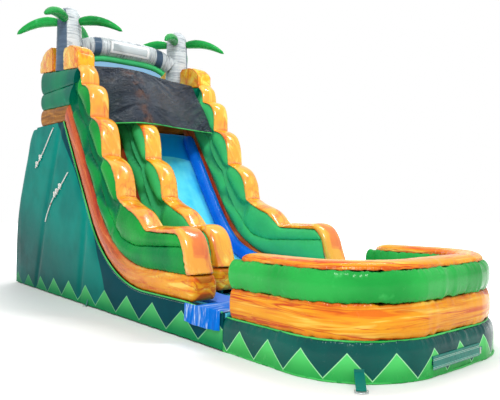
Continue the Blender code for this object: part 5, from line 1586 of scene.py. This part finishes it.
def seen_rays(tree):
    """1 for what is looked at, straight, in a mirror or through a pane, and 0 for light that lands on things."""
    path = tree.nodes.new("ShaderNodeLightPath")
    seen = path.outputs["Is Camera Ray"]
    for ray in ("Is Glossy Ray", "Is Transmission Ray"):
        either = tree.nodes.new("ShaderNodeMath")
        either.operation = "MAXIMUM"
        tree.links.new(seen, either.inputs[0])
        tree.links.new(path.outputs[ray], either.inputs[1])
        seen = either.outputs[0]
    return seen


# Lamps as (place, aim, watts, width, height)
LAMPS = {"key": ((-7.0, -9.0, 11.0), (0.0, 0.0, 1.5), 760.0, 1.7, None),
         "fill": ((3.2, -3.0, 11.5), (0.0, 0.0, 1.5), 420.0, 1.0, 4.5),
         "rear": ((4.0, 12.0, 9.0), (0.0, 2.0, 2.0), 450.0, 6.0, None)}


def stage():
    """A white floor that keeps the object's shadow and fades into a white background."""
    finish = Finish("studio_floor", {"Roughness": 1.0, "Specular IOR Level": 0.0, "Emission Strength": 1.0,
                                     "Base Color": (0.92, 0.92, 0.92, 1.0)})
    oval = finish.scaled(finish.object_point(), 1.0, 0.42, 1.0)
    reach = finish.node("ShaderNodeVectorMath", {"operation": "LENGTH"}, {0: oval}, "Value")
    whiteness = finish.step(reach, 2.1, 5.4) * Value(finish, seen_rays(finish.tree))
    finish.feed("Emission Color", finish.mix(whiteness, (0.0, 0.0, 0.0, 1.0), (1.0, 1.0, 1.0, 1.0)))
    mesh = bpy.data.meshes.new("studio_floor")
    mesh.from_pydata([(-60, -60, 0), (60, -60, 0), (60, 60, 0), (-60, 60, 0)], [], [(0, 1, 2, 3)])
    plane = link("studio_floor", mesh, finish)
    world = bpy.data.worlds.new("studio")
    bpy.context.scene.world = world
    world.use_nodes = True
    back = world.node_tree.nodes["Background"]
    level = world.node_tree.nodes.new("ShaderNodeMapRange")
    world.node_tree.links.new(seen_rays(world.node_tree), level.inputs["Value"])
    level.inputs["To Min"].default_value = SKY_LEVEL
    level.inputs["To Max"].default_value = 1.0
    world.node_tree.links.new(level.outputs[0], back.inputs["Strength"])
    back.inputs["Color"].default_value = (1.0, 1.0, 1.0, 1.0)
    for name, (spot, aim, power, width, height) in LAMPS.items():
        data = bpy.data.lights.new(name, "AREA")
        data.energy = power
        data.size = width
        if height:
            data.shape = "RECTANGLE"
            data.size_y = height
        lamp = place_object(name, data)
        lamp.location = spot
        lamp.rotation_euler = (Vector(aim) - Vector(spot)).to_track_quat("-Z", "Y").to_euler()


def build():
    bpy.context.scene.view_settings.view_transform = "Standard"
    camera()
    finishes = make_finishes()
    steel = steel_finish()
    cord = rope_finish()
    rope("rope_upper", UPPER_ROPE, cord, (0.72, 0.9), 501)
    rope("rope_lower", LOWER_ROPE, cord, (0.3, 0.42, 0.5), 502)
    stage()
    walls(finishes)
    rail("tower_rail_lower", "panel", "strip", finishes["tan"], "tan_vinyl", 51)
    rail("tower_rail_middle", "strip", "middle", finishes["rail_green"], "green_vinyl", 52)
    rail("tower_rail_upper", "middle", "upper", finishes["rail_green"], "green_vinyl", 53)
    posts(finishes["post"])
    trunks(finishes["trunk"])
    fronds(finishes["frond"])
    arch_tube("arch_tube", ARCH_RADIUS, 0.0, 1.075, finishes["arch"], "grey_marble_vinyl", 86)
    below = ARCH_RADIUS + ARCH_LOWER_RADIUS - 0.012
    arch_tube("arch_lower_tube", ARCH_LOWER_RADIUS, below, 1.06, finishes["deep_green"], "green_vinyl", 87)
    white = vinyl("white_vinyl", plain(srgb(252, 252, 252), srgb(244, 246, 248)), 0.3)
    plate = vinyl("plate_grey", plain(srgb(206, 212, 214), srgb(178, 190, 194)), 0.3)
    arch_sign(white, plate)
    side_panels(finishes["panel"])
    back_panel(finishes["panel"])
    slide_bed(finishes["bed_cyan"])
    ladder_ramp(finishes["rock"])
    side_tubes(finishes["blue"])
    pool(finishes)
    seam_welts(finishes["mint"])
    canopy(mesh_finish(), finishes["mint"])
    # Painted light: the pale blue screen glows by emission, in place of daylight shining through it.
    shade = vinyl("screen_blue", plain(srgb(150, 200, 240), srgb(124, 176, 222)), 0.5)
    shade.shader.inputs["Emission Color"].default_value = srgb(146, 190, 224)
    shade.shader.inputs["Emission Strength"].default_value = PAINTED_SCREEN_GLOW
    rear_screen(shade)
    entry_mat(finishes["mat"])
    stitching(thread_finish())
    zip_parts(finishes, steel)
    repaint(finishes["teal"], "teal_vinyl", "anchor_tab_front", "anchor_tab_left", "blower_inlet", "centre_baffle")
    repaint(steel, "plated_steel", "anchor_ring_front", "anchor_ring_left")
    repaint(finishes["ground"], "ground_vinyl", "ground_sheet")
    repaint(finishes["rock"], "brown_vinyl", "tower_deck")


build()
